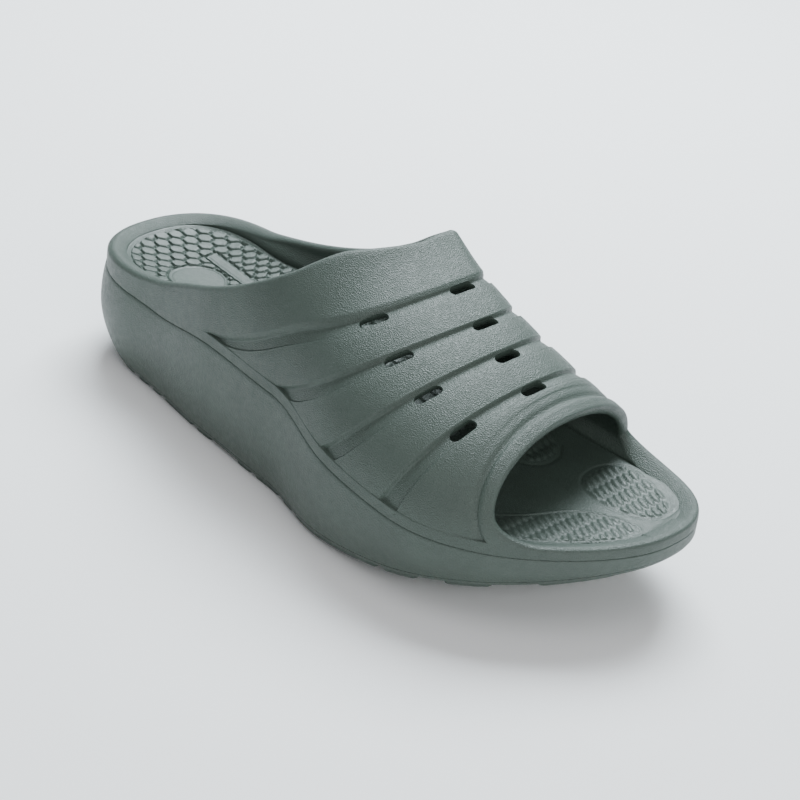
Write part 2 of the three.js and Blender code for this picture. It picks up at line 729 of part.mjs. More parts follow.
function midsoleGeometry() {
  const foot = (x) => treadHeight(x) + MIDSOLE_FOOT;
  const top = (x) => seamHeight(x) - SEAM_GAP;
  const tray = (x) => top(x) - TRAY_DEPTH;
  const trayInset = (x) => wallInset(x) + FOOT_WALL;
  const footInset = (x) => sideInset(x, MIDSOLE_FOOT);
  const side = SIDE_STEPS.map((t) => ({
    inset: (x) => sideInset(x, mix(foot(x), top(x), t) - treadHeight(x)),
    height: (x) => mix(foot(x), top(x), t),
  }));
  return ringSolid([
    ...[...TREAD_STEPS].reverse().map((share) => ({ inset: footInset, share, height: foot })),
    { inset: footInset, height: foot },
    ...side,
    { inset: wallInset, height: top },
    { inset: trayInset, height: top },
    { inset: trayInset, height: tray },
    ...TREAD_STEPS.map((share) => ({ inset: trayInset, share, height: tray })),
  ]);
}

// Height of the footbed: its edge, dished towards the middle.
const bedDish = curve(SIDE, "dish");
const bedHeight = (x, share) =>
  bedEdgeHeight(x) - BED_DISH * bedDish(x / LENGTH) * (1 - (1 - share) ** 2);

function footbedGeometry() {
  const inset = (x) => wallInset(x) + FOOT_WALL + BED_GAP;
  const under = (x) => seamHeight(x) - TRAY_DEPTH;
  return ringSolid([
    ...[...TREAD_STEPS].reverse().map((share) => ({ inset, share, height: under })),
    { inset, height: under },
    { inset, height: bedEdgeHeight },
    ...BED_STEPS.map((share) => ({ inset, share, height: bedHeight })),
  ]);
}

// Closed block between a lower and an upper grid of points, rows along and columns across.
function blockGeometry(lower, upper) {
  const faces = new Faces();
  const index = (grid) => grid.map((row) => row.map((point) => faces.add(point)));
  const low = index(lower);
  const high = index(upper);
  const rows = low.length;
  const columns = low[0].length;
  for (let i = 0; i + 1 < rows; i += 1) {
    for (let j = 0; j + 1 < columns; j += 1) {
      faces.quad(low[i][j], low[i][j + 1], low[i + 1][j + 1], low[i + 1][j]);
      faces.quad(high[i][j], high[i + 1][j], high[i + 1][j + 1], high[i][j + 1]);
    }
    faces.quad(low[i][0], low[i + 1][0], high[i + 1][0], high[i][0]);
    const end = columns - 1;
    faces.quad(low[i + 1][end], low[i][end], high[i][end], high[i + 1][end]);
  }
  for (let j = 0; j + 1 < columns; j += 1) {
    const end = rows - 1;
    faces.quad(low[0][j + 1], low[0][j], high[0][j], high[0][j + 1]);
    faces.quad(low[end][j], low[end][j + 1], high[end][j + 1], high[end][j]);
  }
  return faces.geometry();
}

// Lug from station x0 to x1; pointAt(x, across, chamfer) places its corners in plan.
function lugGeometry(x0, x1, pointAt) {
  const steps = Math.max(1, Math.round((x1 - x0) / LUG_STEP));
  const grid = (chamfer, lift) =>
    Array.from({ length: steps + 1 }, (_, i) => {
      const x = mix(x0 + chamfer, x1 - chamfer, i / steps);
      return Array.from({ length: LUG_COLUMNS + 1 }, (_, j) => {
        const flat = pointAt(x, j / LUG_COLUMNS, chamfer);
        return new THREE.Vector3(flat.x, flat.y, treadHeight(flat.x) + lift);
      });
    });
  return blockGeometry(grid(LUG_CHAMFER, 0), grid(0, LUG_HEIGHT + PLATE_THICKNESS / 2));
}

function outsoleGeometry() {
  const plateFoot = (x) => treadHeight(x) + LUG_HEIGHT;
  const plateTop = (x) => plateFoot(x) + PLATE_THICKNESS;
  const footInset = (x) => sideInset(x, LUG_HEIGHT);
  const topInset = (x) => sideInset(x, LUG_HEIGHT + PLATE_THICKNESS);
  const plate = ringSolid([
    ...[...TREAD_STEPS].reverse().map((share) => ({
      inset: footInset,
      share,
      height: plateFoot,
    })),
    { inset: footInset, height: plateFoot },
    { inset: topInset, height: plateTop },
    ...TREAD_STEPS.map((share) => ({ inset: topInset, share, height: plateTop })),
  ]);
  let solid = toSolid(plate);
  const barInset = TREAD_INSET + LUG_WIDTH + LUG_CHANNEL;
  LUGS.forEach(({ from, to, middle }) => {
    const x0 = from * LENGTH + LUG_GAP / 2;
    const x1 = to * LENGTH - LUG_GAP / 2;
    const edgeLug = (side) => (x, across, chamfer) => {
      const inset = mix(chamfer, LUG_WIDTH - chamfer, side < 0 ? across : 1 - across);
      return outline(x, side, treadInset(x) + inset);
    };
    solid = solid.add(toSolid(lugGeometry(x0, x1, edgeLug(-1))));
    solid = solid.add(toSolid(lugGeometry(x0, x1, edgeLug(1))));
    if (!middle) return;
    const bar = (x, across, chamfer) =>
      outline(x, -1, barInset + chamfer).lerp(outline(x, 1, barInset + chamfer), across);
    solid = solid.add(toSolid(lugGeometry(x0, x1, bar)));
  });
  return toGeometry(solid);
}

const FOAM_COLOUR = 0x77857d;

function piece(name, geometry, roughness) {
  const material = new THREE.MeshStandardMaterial({
    color: FOAM_COLOUR,
    roughness,
    metalness: 0,
  });
  const mesh = new THREE.Mesh(geometry, material);
  mesh.name = name;
  return mesh;
}

// The origin lies under the middle of the shoe's length and width.
const widths = ringStations.map(({ x, side }) => outline(x, side).y);
const middleY = (Math.min(...widths) + Math.max(...widths)) / 2;

const sandal = new THREE.Group();
sandal.name = "slide_sandal";
sandal.position.set(-LENGTH / 2, -middleY, 0);
sandal.add(piece("upper", upperGeometry(), 0.72));
sandal.add(piece("footbed", footbedGeometry(), 0.75));
sandal.add(piece("midsole", midsoleGeometry(), 0.7));
sandal.add(piece("outsole", outsoleGeometry(), 0.7));

export default sandal;
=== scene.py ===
"""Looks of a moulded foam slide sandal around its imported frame.

Lengths are in millimetres, in the shoe's own frame, until the meshes are made: x runs from the
heel's back to the toe, y to the inner side of the foot, z up from the floor.
"""

import math

import bmesh
import bpy
import numpy as np
from mathutils import Matrix


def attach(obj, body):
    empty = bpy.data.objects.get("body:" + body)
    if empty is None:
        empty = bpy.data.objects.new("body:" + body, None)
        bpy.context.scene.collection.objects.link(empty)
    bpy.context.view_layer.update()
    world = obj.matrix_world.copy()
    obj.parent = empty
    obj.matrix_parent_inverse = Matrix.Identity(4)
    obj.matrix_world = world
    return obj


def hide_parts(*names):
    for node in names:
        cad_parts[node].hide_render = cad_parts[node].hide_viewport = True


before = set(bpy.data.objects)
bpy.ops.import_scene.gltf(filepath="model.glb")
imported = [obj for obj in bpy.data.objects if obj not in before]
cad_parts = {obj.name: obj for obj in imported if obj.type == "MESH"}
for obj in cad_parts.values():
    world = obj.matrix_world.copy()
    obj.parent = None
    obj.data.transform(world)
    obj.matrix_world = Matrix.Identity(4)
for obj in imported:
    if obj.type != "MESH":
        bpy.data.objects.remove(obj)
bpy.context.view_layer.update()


def table(columns, *rows):
    """Rows of named values."""
    return [dict(zip(columns, row)) for row in rows]


# Overall sizes, as in the solids. Heights are taken above the underside of the plate.
LENGTH = 290.0
BALL_WIDTH = 109.0
HEEL_WIDTH = 80.0
SOLE_HEIGHT = 42.0
CROWN_HEIGHT = 121.0
HEEL_RIM_HEIGHT = 44.3
COLLAR_PEAK_HEIGHT = 97.4
HEEL_RISE = 11.0
TOE_SPRING = 25.0
MILLIMETRE = 0.001

# Walls, seams and reliefs
STRAP_WALL = 4.8
RIM_RADIUS = STRAP_WALL / 2
HEEL_CREST = 3.4
RIM_SLOPE = 1.15
LIP_RADIUS = 1.5
# Outer edge of the toe's rim, low down and on the strap: bend 2 is round, more is boxier.
TOE_RIM_BEND = {"low": 3.6, "high": 2.8, "over": 8}
TOE_RIM_THINNING = {"from": 6, "over": 14}
FOOT_WALL = 8.4
FOOT_STAND = 1.5
FOOT_BLEND = 7.0
WALL_INSET = 1.9
TREAD_INSET = 4.6
WIDEST = 0.55
HEEL_TUCK = 6.0
SKIRT_HEIGHT = 4.3
SKIRT_STEP = 0.35
SKIRT_EDGE = 0.5
SKIRT_MARGIN = 0.1
SKIRT_START = 88.0
SKIRT_FADE = 10.0
GROOVE_DEPTH = 1.8
GROOVE_STEP = 0.36
GROOVE_REAR = {"start": 0.6, "fall": 1.9}
GROOVE_FRONT = {"start": 0.05, "rise": 0.45}
FLOOR_RISE = 0.8
BAND_CROWN = 0.2
LIP_LIFT = 0.35
CREASE_DEPTH = 0.7
CREASE_PLACE = 0.5
CREASE_WIDTH = 1.5
LIP_RISE = 1.6
LIP_FADE = {"from": 2.5, "over": 6}
TOE_RIM_HEIGHT = 1.9
SEAM_GAP = 0.2
BED_GAP = 0.2
TRAY_DEPTH = 3.0
BED_DISH = 4.2

# Sole
PLATE_THICKNESS = 1.5
LUG_HEIGHT = 2.8
LUG_CHAMFER = 0.8
LUG_WIDTH = 21.0
LUG_GAP = 2.4
LUG_CHANNEL = 4.0
LUG_CORNER = 2.0
# Rounded edge of a lug: inset and lift in chamfers.
LUG_EDGE = ((0, 1.1), (0.25, 0.5), (0.75, 0.08), (1.2, 0))

# Slots
SLOT_LENGTH = 11.2
SLOT_WIDTH = 3.9
SLOT_FLARE = 0.25
SLOT_ANGLES = (52, 85)

# Plan of the sole. at: share of the length; centre: share of the ball width;
# flare: 0 at the heel's width, 1 at the ball's width.
PLAN = table(
    ("at", "centre", "flare"),
    (0, 0, 0),
    (0.172, -0.002, -0.02),
    (0.345, -0.011, 0.26),
    (0.483, -0.032, 0.28),
    (0.621, -0.035, 0.84),
    (0.741, -0.009, 1),
    (0.862, 0.071, 0.91),
    (1, 0.2, 0.54),
)
HEEL_ROUND = {"length": 43.5, "power": 2.3}
TOE_ROUND = {"length": 71, "power": 2.25}
MIDDLE_LINE = {"start": 0.16, "end": 0.8}
HEEL_LIFT = {"start": 0.21, "power": 2.2}
TOE_LIFT = {"start": 0.535, "power": 1.5}

# Side of the shoe. at: share of the length; seam and bed: heights as shares of the sole height;
# dish: share of the bed's dish; inset: share of the wall's inset.
SIDE = table(
    ("at", "seam", "bed", "dish", "inset"),
    (0, 0.98, 1.03, 0.6, 1),
    (0.086, 0.907, 1.02, 0.9, 1),
    (0.207, 0.893, 1.02, 1, 1),
    (0.345, 1.017, 1.08, 0.7, 1),
    (0.5, 0.995, 1.06, 0.5, 1),
    (0.655, 0.824, 0.93, 0.5, 0.8),
    (0.828, 0.707, 0.765, 0.4, 0.2),
    (1, 0.755, 0.775, 0.3, 0),
)

# Crown line of the strap. height: share of the crown height; shift: share of the ball width.
CROWN = table(
    ("at", "height", "shift"),
    (0.207, 1, 0.073),
    (0.379, 0.981, 0.22),
    (0.483, 0.906, 0.29),
    (0.541, 0.816, 0.262),
    (0.593, 0.76, 0.208),
    (0.655, 0.705, 0.163),
    (0.741, 0.63, 0.115),
    (0.828, 0.548, 0.092),
    (0.903, 0.462, 0.073),
)
ARCH_POWER = 2.03

# Collar edge from the side: 0 at the heel's rim, 1 at the peak, on either side of the foot.
COLLAR = table(
    ("at", "outer", "inner"),
    (0, 0, 0),
    (0.155, 0.04, 0.055),
    (0.2, 0.085, 0.1),
    (0.276, 0.25, 0.195),
    (0.359, 0.44, 0.355),
    (0.452, 0.75, 0.635),
    (0.5, 0.955, 0.835),
    (0.543, 1, 1),
)
COLLAR_CORNER = 0.303

# Rear edges of the grooves: shares of the length at the outer foot, the crown and the inner foot;
# foot and top: widths in mm there; bend: how early the line leans.
GROOVES = table(
    ("outer", "crown", "inner", "foot", "top", "bend"),
    (0.324, 0.612, 0.35, 11.7, 4.1, 0.54),
    (0.492, 0.671, 0.495, 9.6, 4, 0.74),
    (0.616, 0.721, 0.596, 8.3, 5.2, 0.8),
    (0.732, 0.777, 0.7, 8.3, 4, 0.98),
)
CREASE = {"outer": 0.87, "crown": 0.817, "inner": 0.795, "bend": 0.78}
TOE_EDGE = {"outer": 0.88, "crown": 0.8335, "inner": 0.805, "bend": 0.78}
TOE_CORNERS = {"outer": {"reach": 14, "height": 11}, "inner": {"reach": 40, "height": 10.5}}

# Lugs of the tread: shares of the length, and whether a bar crosses the sole there.
LUGS = table(
    ("from", "to", "middle"),
    (0.1, 0.155, False),
    (0.155, 0.19, True),
    (0.19, 0.222, True),
    (0.222, 0.31, True),
    (0.31, 0.357, True),
    (0.41, 0.452, True),
    (0.452, 0.515, True),
    (0.515, 0.552, True),
    (0.552, 0.738, True),
    (0.738, 0.8, True),
    (0.825, 0.888, True),
    (0.921, 0.992, False),
)

# How finely the surfaces are cut
END_STEPS = 64
SKIRT_ROWS = (0, 1.4, 2.8, 3.7, 4.1, 4.3, 4.4, 4.5, 4.6, 4.7, 4.82, 5.0, 5.3, 5.8, 6.6)
ARCH_ROWS = 64
ARCH_CROWDING = 1.12
BAND_LINES = 15
FLOOR_LINES = (0.2, 0.4, 0.6, 0.8)
REAR_EDGE = (-1.1, -0.75, -0.5, -0.25, 0.0, 0.25, 0.5, 0.75, 1.0, 1.3)
FRONT_EDGE = (1.0, 0.7, 0.5, 0.38, 0.26, 0.14, 0.04, -0.05, -0.25, -0.7)
CREASE_EDGE = (5.2, 4.4, 3.7, 3.1, 2.6, 2.2, 1.8, 1.4, 1.0, 0.7, 0.4, 0.2, 0)
COLLAR_STRIP = 26
COLLAR_EVENNESS = 0.7
COLLAR_FADE = 12
LIP_STRIP = 16
RIM_STEPS = 7
PERIMETER = 420
COARSE_ARCH = (0.03, 0.09, 0.18, 0.3, 0.45, 0.62, 0.81, 1)
COARSE_LEDGE = 0.6
CORNER_STEPS = 5
ROW_CROWDING = 1.15

SMALL_TURN = 0.004
SMALL_STEP = 0.25
OUTLINE_STEP = 0.004
SLOT_TURN = 0.02
SEARCH_STEPS = 40
TINY = 1e-6
RIGHT_ANGLE = math.pi / 2
OUTER, INNER = -1.0, 1.0


def curve(table, column):
    """Smooth curve through one column of a table, without overshoot between its rows."""
    x = np.array([row["at"] for row in table], float)
    y = np.array([row[column] for row in table], float)
    step = np.diff(y) / np.diff(x)
    slope = np.concatenate([step[:1], np.zeros(len(x) - 2), step[-1:]])
    for i in range(1, len(x) - 1):
        product = step[i - 1] * step[i]
        slope[i] = 0 if product <= 0 else 2 * product / (step[i - 1] + step[i])

    def at(value):
        value = np.clip(value, x[0], x[-1])
        i = np.clip(np.searchsorted(x, value, side="right") - 1, 0, len(x) - 2)
        width = x[i + 1] - x[i]
        t = (value - x[i]) / width
        ends = (1 + 2 * t) * (1 - t) ** 2 * y[i] + t * t * (3 - 2 * t) * y[i + 1]
        return ends + width * (t * (1 - t) ** 2 * slope[i] - t * t * (1 - t) * slope[i + 1])

    return at


def mix(a, b, t):
    return a + (b - a) * t


def ease(t):
    t = np.clip(t, 0, 1)
    return t * t * (3 - 2 * t)


def unit(v):
    return v / np.maximum(np.linalg.norm(v, axis=-1, keepdims=True), 1e-9)


plan_centre, plan_flare = curve(PLAN, "centre"), curve(PLAN, "flare")
seam_share, bed_share = curve(SIDE, "seam"), curve(SIDE, "bed")
dish_share, inset_share = curve(SIDE, "dish"), curve(SIDE, "inset")
crown_share, crown_shift = curve(CROWN, "height"), curve(CROWN, "shift")
collar_outer, collar_inner = curve(COLLAR, "outer"), curve(COLLAR, "inner")
CROWN_START, CROWN_END = CROWN[0]["at"] * LENGTH, CROWN[-1]["at"] * LENGTH
COLLAR_PEAK = COLLAR[-1]["at"] * LENGTH


def seam_height(x):
    return LUG_HEIGHT + SOLE_HEIGHT * seam_share(x / LENGTH)


def bed_edge_height(x):
    return LUG_HEIGHT + SOLE_HEIGHT * bed_share(x / LENGTH)


def crown_height(x):
    return LUG_HEIGHT + CROWN_HEIGHT * crown_share(x / LENGTH)


def collar_height(x, inner):
    rise = np.where(inner, collar_inner(x / LENGTH), collar_outer(x / LENGTH))
    return LUG_HEIGHT + mix(HEEL_RIM_HEIGHT, COLLAR_PEAK_HEIGHT, rise)


def wall_inset(x):
    return WALL_INSET * inset_share(x / LENGTH)


def tread_height(x):
    """Height of the tread above the floor: it rises at the heel and springs at the toe."""
    back = np.maximum(0, 1 - x / (HEEL_LIFT["start"] * LENGTH))
    front = np.maximum(0, (x / LENGTH - TOE_LIFT["start"]) / (1 - TOE_LIFT["start"]))
    return HEEL_RISE * back ** HEEL_LIFT["power"] + TOE_SPRING * front ** TOE_LIFT["power"]


def end_round(distance, end):
    t = np.clip(1 - distance / end["length"], 0, 1)
    return (1 - t ** end["power"]) ** (1 / end["power"])


def outline_at(turn, side):
    """Outline of the sole; turn runs 0 at the heel to 1 at the toe."""
    folded = np.where(turn < 0, -turn, np.where(turn > 1, 2 - turn, turn))
    flip = np.where((turn < 0) | (turn > 1), -side, side)
    x = LENGTH * (1 - np.cos(math.pi * folded)) / 2
    half = mix(HEEL_WIDTH, BALL_WIDTH, plan_flare(x / LENGTH)) / 2
    half = half * end_round(x, HEEL_ROUND) * end_round(LENGTH - x, TOE_ROUND)
    return np.stack([x, plan_centre(x / LENGTH) * BALL_WIDTH + flip * half], -1)


def outline(x, side, inset=0.0):
    """Point of the outline at station x, moved inwards by inset."""
    x, side, inset = np.broadcast_arrays(np.asarray(x, float), side, inset)
    turn = np.arccos(np.clip(1 - 2 * x / LENGTH, -1, 1)) / math.pi
    ahead, behind = (outline_at(turn + step, side) for step in (OUTLINE_STEP, -OUTLINE_STEP))
    along = unit(ahead - behind)
    square = np.stack([along[..., 1], -along[..., 0]], -1)
    return outline_at(turn, side) + square * (side * inset)[..., None]


def arch(x, angle):
    """Surface of the strap. Angle: 0 at the outer foot, 90 degrees on the crown, 180 at the inner."""
    x, angle = np.broadcast_arrays(np.asarray(x, float), np.asarray(angle, float))
    side = np.where(angle <= RIGHT_ANGLE, OUTER, INNER)
    crown_x = np.clip(x, CROWN_START, CROWN_END)
    foot = outline(x, side, wall_inset(x))
    out = np.abs(np.cos(angle)) ** (2 / ARCH_POWER)
    up = np.abs(np.sin(angle)) ** (2 / ARCH_POWER)
    return np.stack(
        [
            mix(crown_x, foot[..., 0], out),
            mix(crown_shift(crown_x / LENGTH) * BALL_WIDTH, foot[..., 1], out),
            mix(seam_height(foot[..., 0]), crown_height(crown_x), up),
        ],
        -1,
    )


def arch_normal(x, angle):
    """Direction square to the strap's surface, pointing out."""
    x, angle = np.broadcast_arrays(np.asarray(x, float), np.asarray(angle, float))
    high, low = (np.clip(angle + turn, 0, math.pi) for turn in (SMALL_TURN, -SMALL_TURN))
    around = arch(x, high) - arch(x, low)
    low, high = np.clip(x - SMALL_STEP, 0, LENGTH), np.clip(x + SMALL_STEP, 0, LENGTH)
    along = arch(high, angle) - arch(low, angle)
    normal = unit(-np.cross(around, along))
    side = np.where(angle <= RIGHT_ANGLE, OUTER, INNER)
    flat = outline(x, side, 0) - outline(x, side, 1)
    end = unit(np.concatenate([flat, np.zeros(flat.shape[:-1] + (1,))], -1))
    at_end = (x < 1) | (x > LENGTH - 1) | (np.linalg.norm(along, axis=-1) < 1e-5)
    return np.where(at_end[..., None], end, normal)


def angle_at_height(x, height):
    crown_x = np.clip(x, CROWN_START, CROWN_END)
    rise = crown_height(crown_x) - seam_height(x)
    return np.arcsin(np.clip(height / rise, 0, 1) ** (ARCH_POWER / 2))


def line_station(line, angle):
    """Station of a line across the strap; it stands upright within the skirt."""
    foot = np.where(angle <= RIGHT_ANGLE, line["outer"], line["inner"]) * LENGTH
    low = np.sin(angle_at_height(foot, SKIRT_HEIGHT))
    t = np.clip((np.sin(angle) - low) / (1 - low), 0, 1)
    return mix(foot, line["crown"] * LENGTH, t ** line["bend"])


def wall_thickness(point):
    above = point[..., 2] - bed_edge_height(point[..., 0]) - FOOT_STAND
    return mix(FOOT_WALL, STRAP_WALL, ease(above / FOOT_BLEND))


def front_line(groove):
    return {
        "outer": groove["outer"] + groove["foot"] / LENGTH,
        "crown": groove["crown"] + groove["top"] / LENGTH,
        "inner": groove["inner"] + groove["foot"] / LENGTH,
        "bend": groove["bend"],
    }


def spread(line, angle):
    """Millimetres square to a line for each millimetre of station, at the angles given."""
    at = line_station(line, angle)
    ahead = np.clip(angle + SMALL_TURN, 0, math.pi)
    behind = np.clip(angle - SMALL_TURN, 0, math.pi)
    run = unit(arch(line_station(line, ahead), ahead) - arch(line_station(line, behind), behind))
    across = (arch(at + SMALL_STEP, angle) - arch(at - SMALL_STEP, angle)) / (2 * SMALL_STEP)
    return np.clip(np.linalg.norm(np.cross(run, across), axis=-1), 0.3, 2)


def beside(line, rows, offset):
    """Station that lies offset mm ahead of a line."""
    return line_station(line, rows) + offset / spread(line, rows)


def ledge_height(x, angle):
    return arch(x, angle)[..., 2] - seam_height(x)


def half_rows(foot):
    """Angles of the rows on one half of a line, foot to crown."""
    low = angle_at_height(foot, np.array(SKIRT_ROWS, float))
    start = low[-1]
    t = np.arange(1, ARCH_ROWS + 1) / ARCH_ROWS
    return np.concatenate([low, mix(start, RIGHT_ANGLE, t ** ARCH_CROWDING)])


def line_rows(line):
    outer = half_rows(line["outer"] * LENGTH)
    inner = half_rows(line["inner"] * LENGTH)
    return np.concatenate([outer, math.pi - inner[:-1][::-1]])


def skirt_lift(x, angle):
    """The wall above the skirt lies a little deeper than the skirt."""
    height = ledge_height(x, angle)
    fade = ease((x - SKIRT_START) / SKIRT_FADE)
    return -SKIRT_STEP * ease((height - SKIRT_HEIGHT) / SKIRT_EDGE) * fade


def above_skirt(x, angle):
    return ease((ledge_height(x, angle) - SKIRT_HEIGHT - SKIRT_MARGIN) / SKIRT_EDGE)


def groove_profile(rear, front):
    """Depth of a groove, 0 to 1: a soft valley at its rear, a rising floor and a small step in front."""
    share = np.clip(rear / np.maximum(rear + front, 0.1), 0, 1)
    floor = mix(1.0, GROOVE_STEP, share ** FLOOR_RISE)
    fall = ease((rear + GROOVE_REAR["start"]) / GROOVE_REAR["fall"])
    return fall * floor * ease((front + GROOVE_FRONT["start"]) / GROOVE_FRONT["rise"])


def crease_profile(before):
    """Lift of the valley behind the lip, from the distance before the crease line."""
    return -CREASE_DEPTH * np.exp(-(((before - CREASE_PLACE) / CREASE_WIDTH) ** 2))


def strap_grid():
    """Stations, angles and lifts of the strap, from its first groove to the crease at the toe."""
    stations, angles, lifts = [], [], []

    def add(rows, station, lift):
        stations.append(station)
        angles.append(rows)
        lifts.append(lift * above_skirt(station, rows) + skirt_lift(station, rows))

    for i, groove in enumerate(GROOVES):
        front = front_line(groove)
        rows_rear, rows_front = line_rows(groove), line_rows(front)
        lean, front_at = spread(groove, rows_rear), line_station(front, rows_rear)
        for offset in REAR_EDGE:
            if i == 0 and offset < 0:
                continue
            station = beside(groove, rows_rear, offset)
            depth = groove_profile(offset, (front_at - station) * lean)
            add(rows_rear, station, -GROOVE_DEPTH * depth)
        for t in FLOOR_LINES:
            rows = mix(rows_rear, rows_front, t)
            first = beside(groove, rows, REAR_EDGE[-1])
            station = mix(first, beside(front, rows, -FRONT_EDGE[0]), t)
            behind = (station - line_station(groove, rows)) * spread(groove, rows)
            before = (line_station(front, rows) - station) * spread(front, rows)
            add(rows, station, -GROOVE_DEPTH * groove_profile(behind, before))
        lean, rear_at = spread(front, rows_front), line_station(groove, rows_front)
        for offset in FRONT_EDGE:
            station = beside(front, rows_front, -offset)
            depth = groove_profile((station - rear_at) * lean, offset)
            add(rows_front, station, -GROOVE_DEPTH * depth)
        last_band = i + 1 == len(GROOVES)
        following = CREASE if last_band else GROOVES[i + 1]
        rows_next = line_rows(following)
        margin = CREASE_EDGE[0] if last_band else -REAR_EDGE[0]
        for k in range(1, BAND_LINES + 1):
            t = k / (BAND_LINES + 1)
            rows = mix(rows_front, rows_next, t)
            first = beside(front, rows, -FRONT_EDGE[-1])
            station = mix(first, beside(following, rows, -margin), t)
            add(rows, station, np.full(rows.shape, BAND_CROWN * (1 - (2 * t - 1) ** 4)))
    rows = line_rows(CREASE)
    for before in CREASE_EDGE:
        lift = np.full(rows.shape, crease_profile(before))
        add(rows, beside(CREASE, rows, -before), lift)
    return np.array(stations), np.array(angles), np.array(lifts)


def collar_angle(x, inner):
    return angle_at_height(x, collar_height(x, inner) - seam_height(x))


def collar_station(angle, inner):
    """Station at which the collar's edge has the given angle from its own foot."""
    low, high = np.zeros_like(angle), np.full_like(angle, COLLAR_PEAK)
    for _ in range(SEARCH_STEPS):
        x = (low + high) / 2
        below = arch(x, angle)[..., 2] > collar_height(x, inner)
        low, high = np.where(below, x, low), np.where(below, high, x)
    return (low + high) / 2


def end_stations(length, steps):
    return length * (1 - np.cos(RIGHT_ANGLE * np.arange(steps) / steps))


def collar_loop(line, rows):
    """Foot and edge of the strip round the collar, as (station, angle) pairs."""
    corner = COLLAR_CORNER * LENGTH

    def heel(foot, inner):
        x = end_stations(foot, END_STEPS)
        edge = x * corner / foot
        return np.stack([x, np.zeros_like(x)], -1), np.stack([edge, collar_angle(edge, inner)], -1)

    inner = rows > RIGHT_ANGLE
    rise = np.where(inner, math.pi - rows, rows) / RIGHT_ANGLE
    edge_angle = mix(collar_angle(np.full_like(rows, corner), inner), RIGHT_ANGLE, rise)
    station = collar_station(edge_angle, inner)
    over_foot = np.stack([line_station(line, rows), rows], -1)
    over_edge = np.stack([station, np.where(inner, math.pi - edge_angle, edge_angle)], -1)
    outer_foot, outer_edge = heel(line["outer"] * LENGTH, False)
    inner_foot, inner_edge = heel(line["inner"] * LENGTH, True)
    foot = np.concatenate([outer_foot, over_foot, turned(inner_foot[1:][::-1])])
    edge = np.concatenate([outer_edge, over_edge, turned(inner_edge[1:][::-1])])
    return foot, edge


def turned(places):
    """The same places on the inner side of the shoe."""
    return np.stack([places[:, 0], math.pi - places[:, 1]], -1)


def toe_edge_half(rows, line_foot, inner):
    """Edge of the toe opening over one half of the strap: a rounded corner, then the rear edge."""
    corner = TOE_CORNERS["inner" if inner else "outer"]
    foot = (TOE_EDGE["inner"] if inner else TOE_EDGE["outer"]) * LENGTH
    rim = angle_at_height(foot + corner["reach"], TOE_RIM_HEIGHT)
    top = angle_at_height(foot, TOE_RIM_HEIGHT + corner["height"])
    skirt = angle_at_height(line_foot, SKIRT_HEIGHT)
    ledge = angle_at_height(line_foot, SKIRT_HEIGHT + COARSE_LEDGE)
    marks = [0, skirt, ledge] + [mix(ledge, RIGHT_ANGLE, t) for t in COARSE_ARCH]
    index = np.interp(rows, marks, np.arange(len(marks)))
    bend = np.clip(index / CORNER_STEPS, 0, 1) * RIGHT_ANGLE
    rise = np.clip((index - CORNER_STEPS) / (len(marks) - 1 - CORNER_STEPS), 0, 1)
    angle = mix(mix(rim, top, 1 - np.cos(bend)), RIGHT_ANGLE, rise ** ROW_CROWDING)
    side = math.pi - angle if inner else angle
    station = line_station(TOE_EDGE, side) + corner["reach"] * (1 - np.sin(bend))
    return np.stack([station, side], -1)


def toe_loop(line, rows):
    half = (len(rows) + 1) // 2
    outer_edge = toe_edge_half(rows[:half], line["outer"] * LENGTH, False)
    inner_rows = math.pi - rows[half - 1 :][::-1]
    inner_edge = toe_edge_half(inner_rows, line["inner"] * LENGTH, True)[::-1]

    def toe(foot, edge_end):
        back = end_stations(LENGTH - foot, END_STEPS)
        x = mix(LENGTH, edge_end, back / (LENGTH - foot))
        edge = np.stack([x, angle_at_height(x, TOE_RIM_HEIGHT)], -1)
        return np.stack([LENGTH - back, np.zeros_like(back)], -1), edge

    outer_foot, outer_rim = toe(line["outer"] * LENGTH, outer_edge[0, 0])
    inner_foot, inner_rim = toe(line["inner"] * LENGTH, inner_edge[-1, 0])
    over_foot = np.stack([line_station(line, rows), rows], -1)
    over_edge = np.concatenate([outer_edge, inner_edge[1:]])
    foot = np.concatenate([outer_foot, over_foot, turned(inner_foot[1:][::-1])])
    edge = np.concatenate([outer_rim, over_edge, turned(inner_rim[1:][::-1])])
    return foot, edge


def strip(foot, edge, steps):
    """Places between foot and edge, without the foot: one row for each place along."""
    t = steps[None, :, None]
    return mix(foot[:, None, :], edge[:, None, :], t)


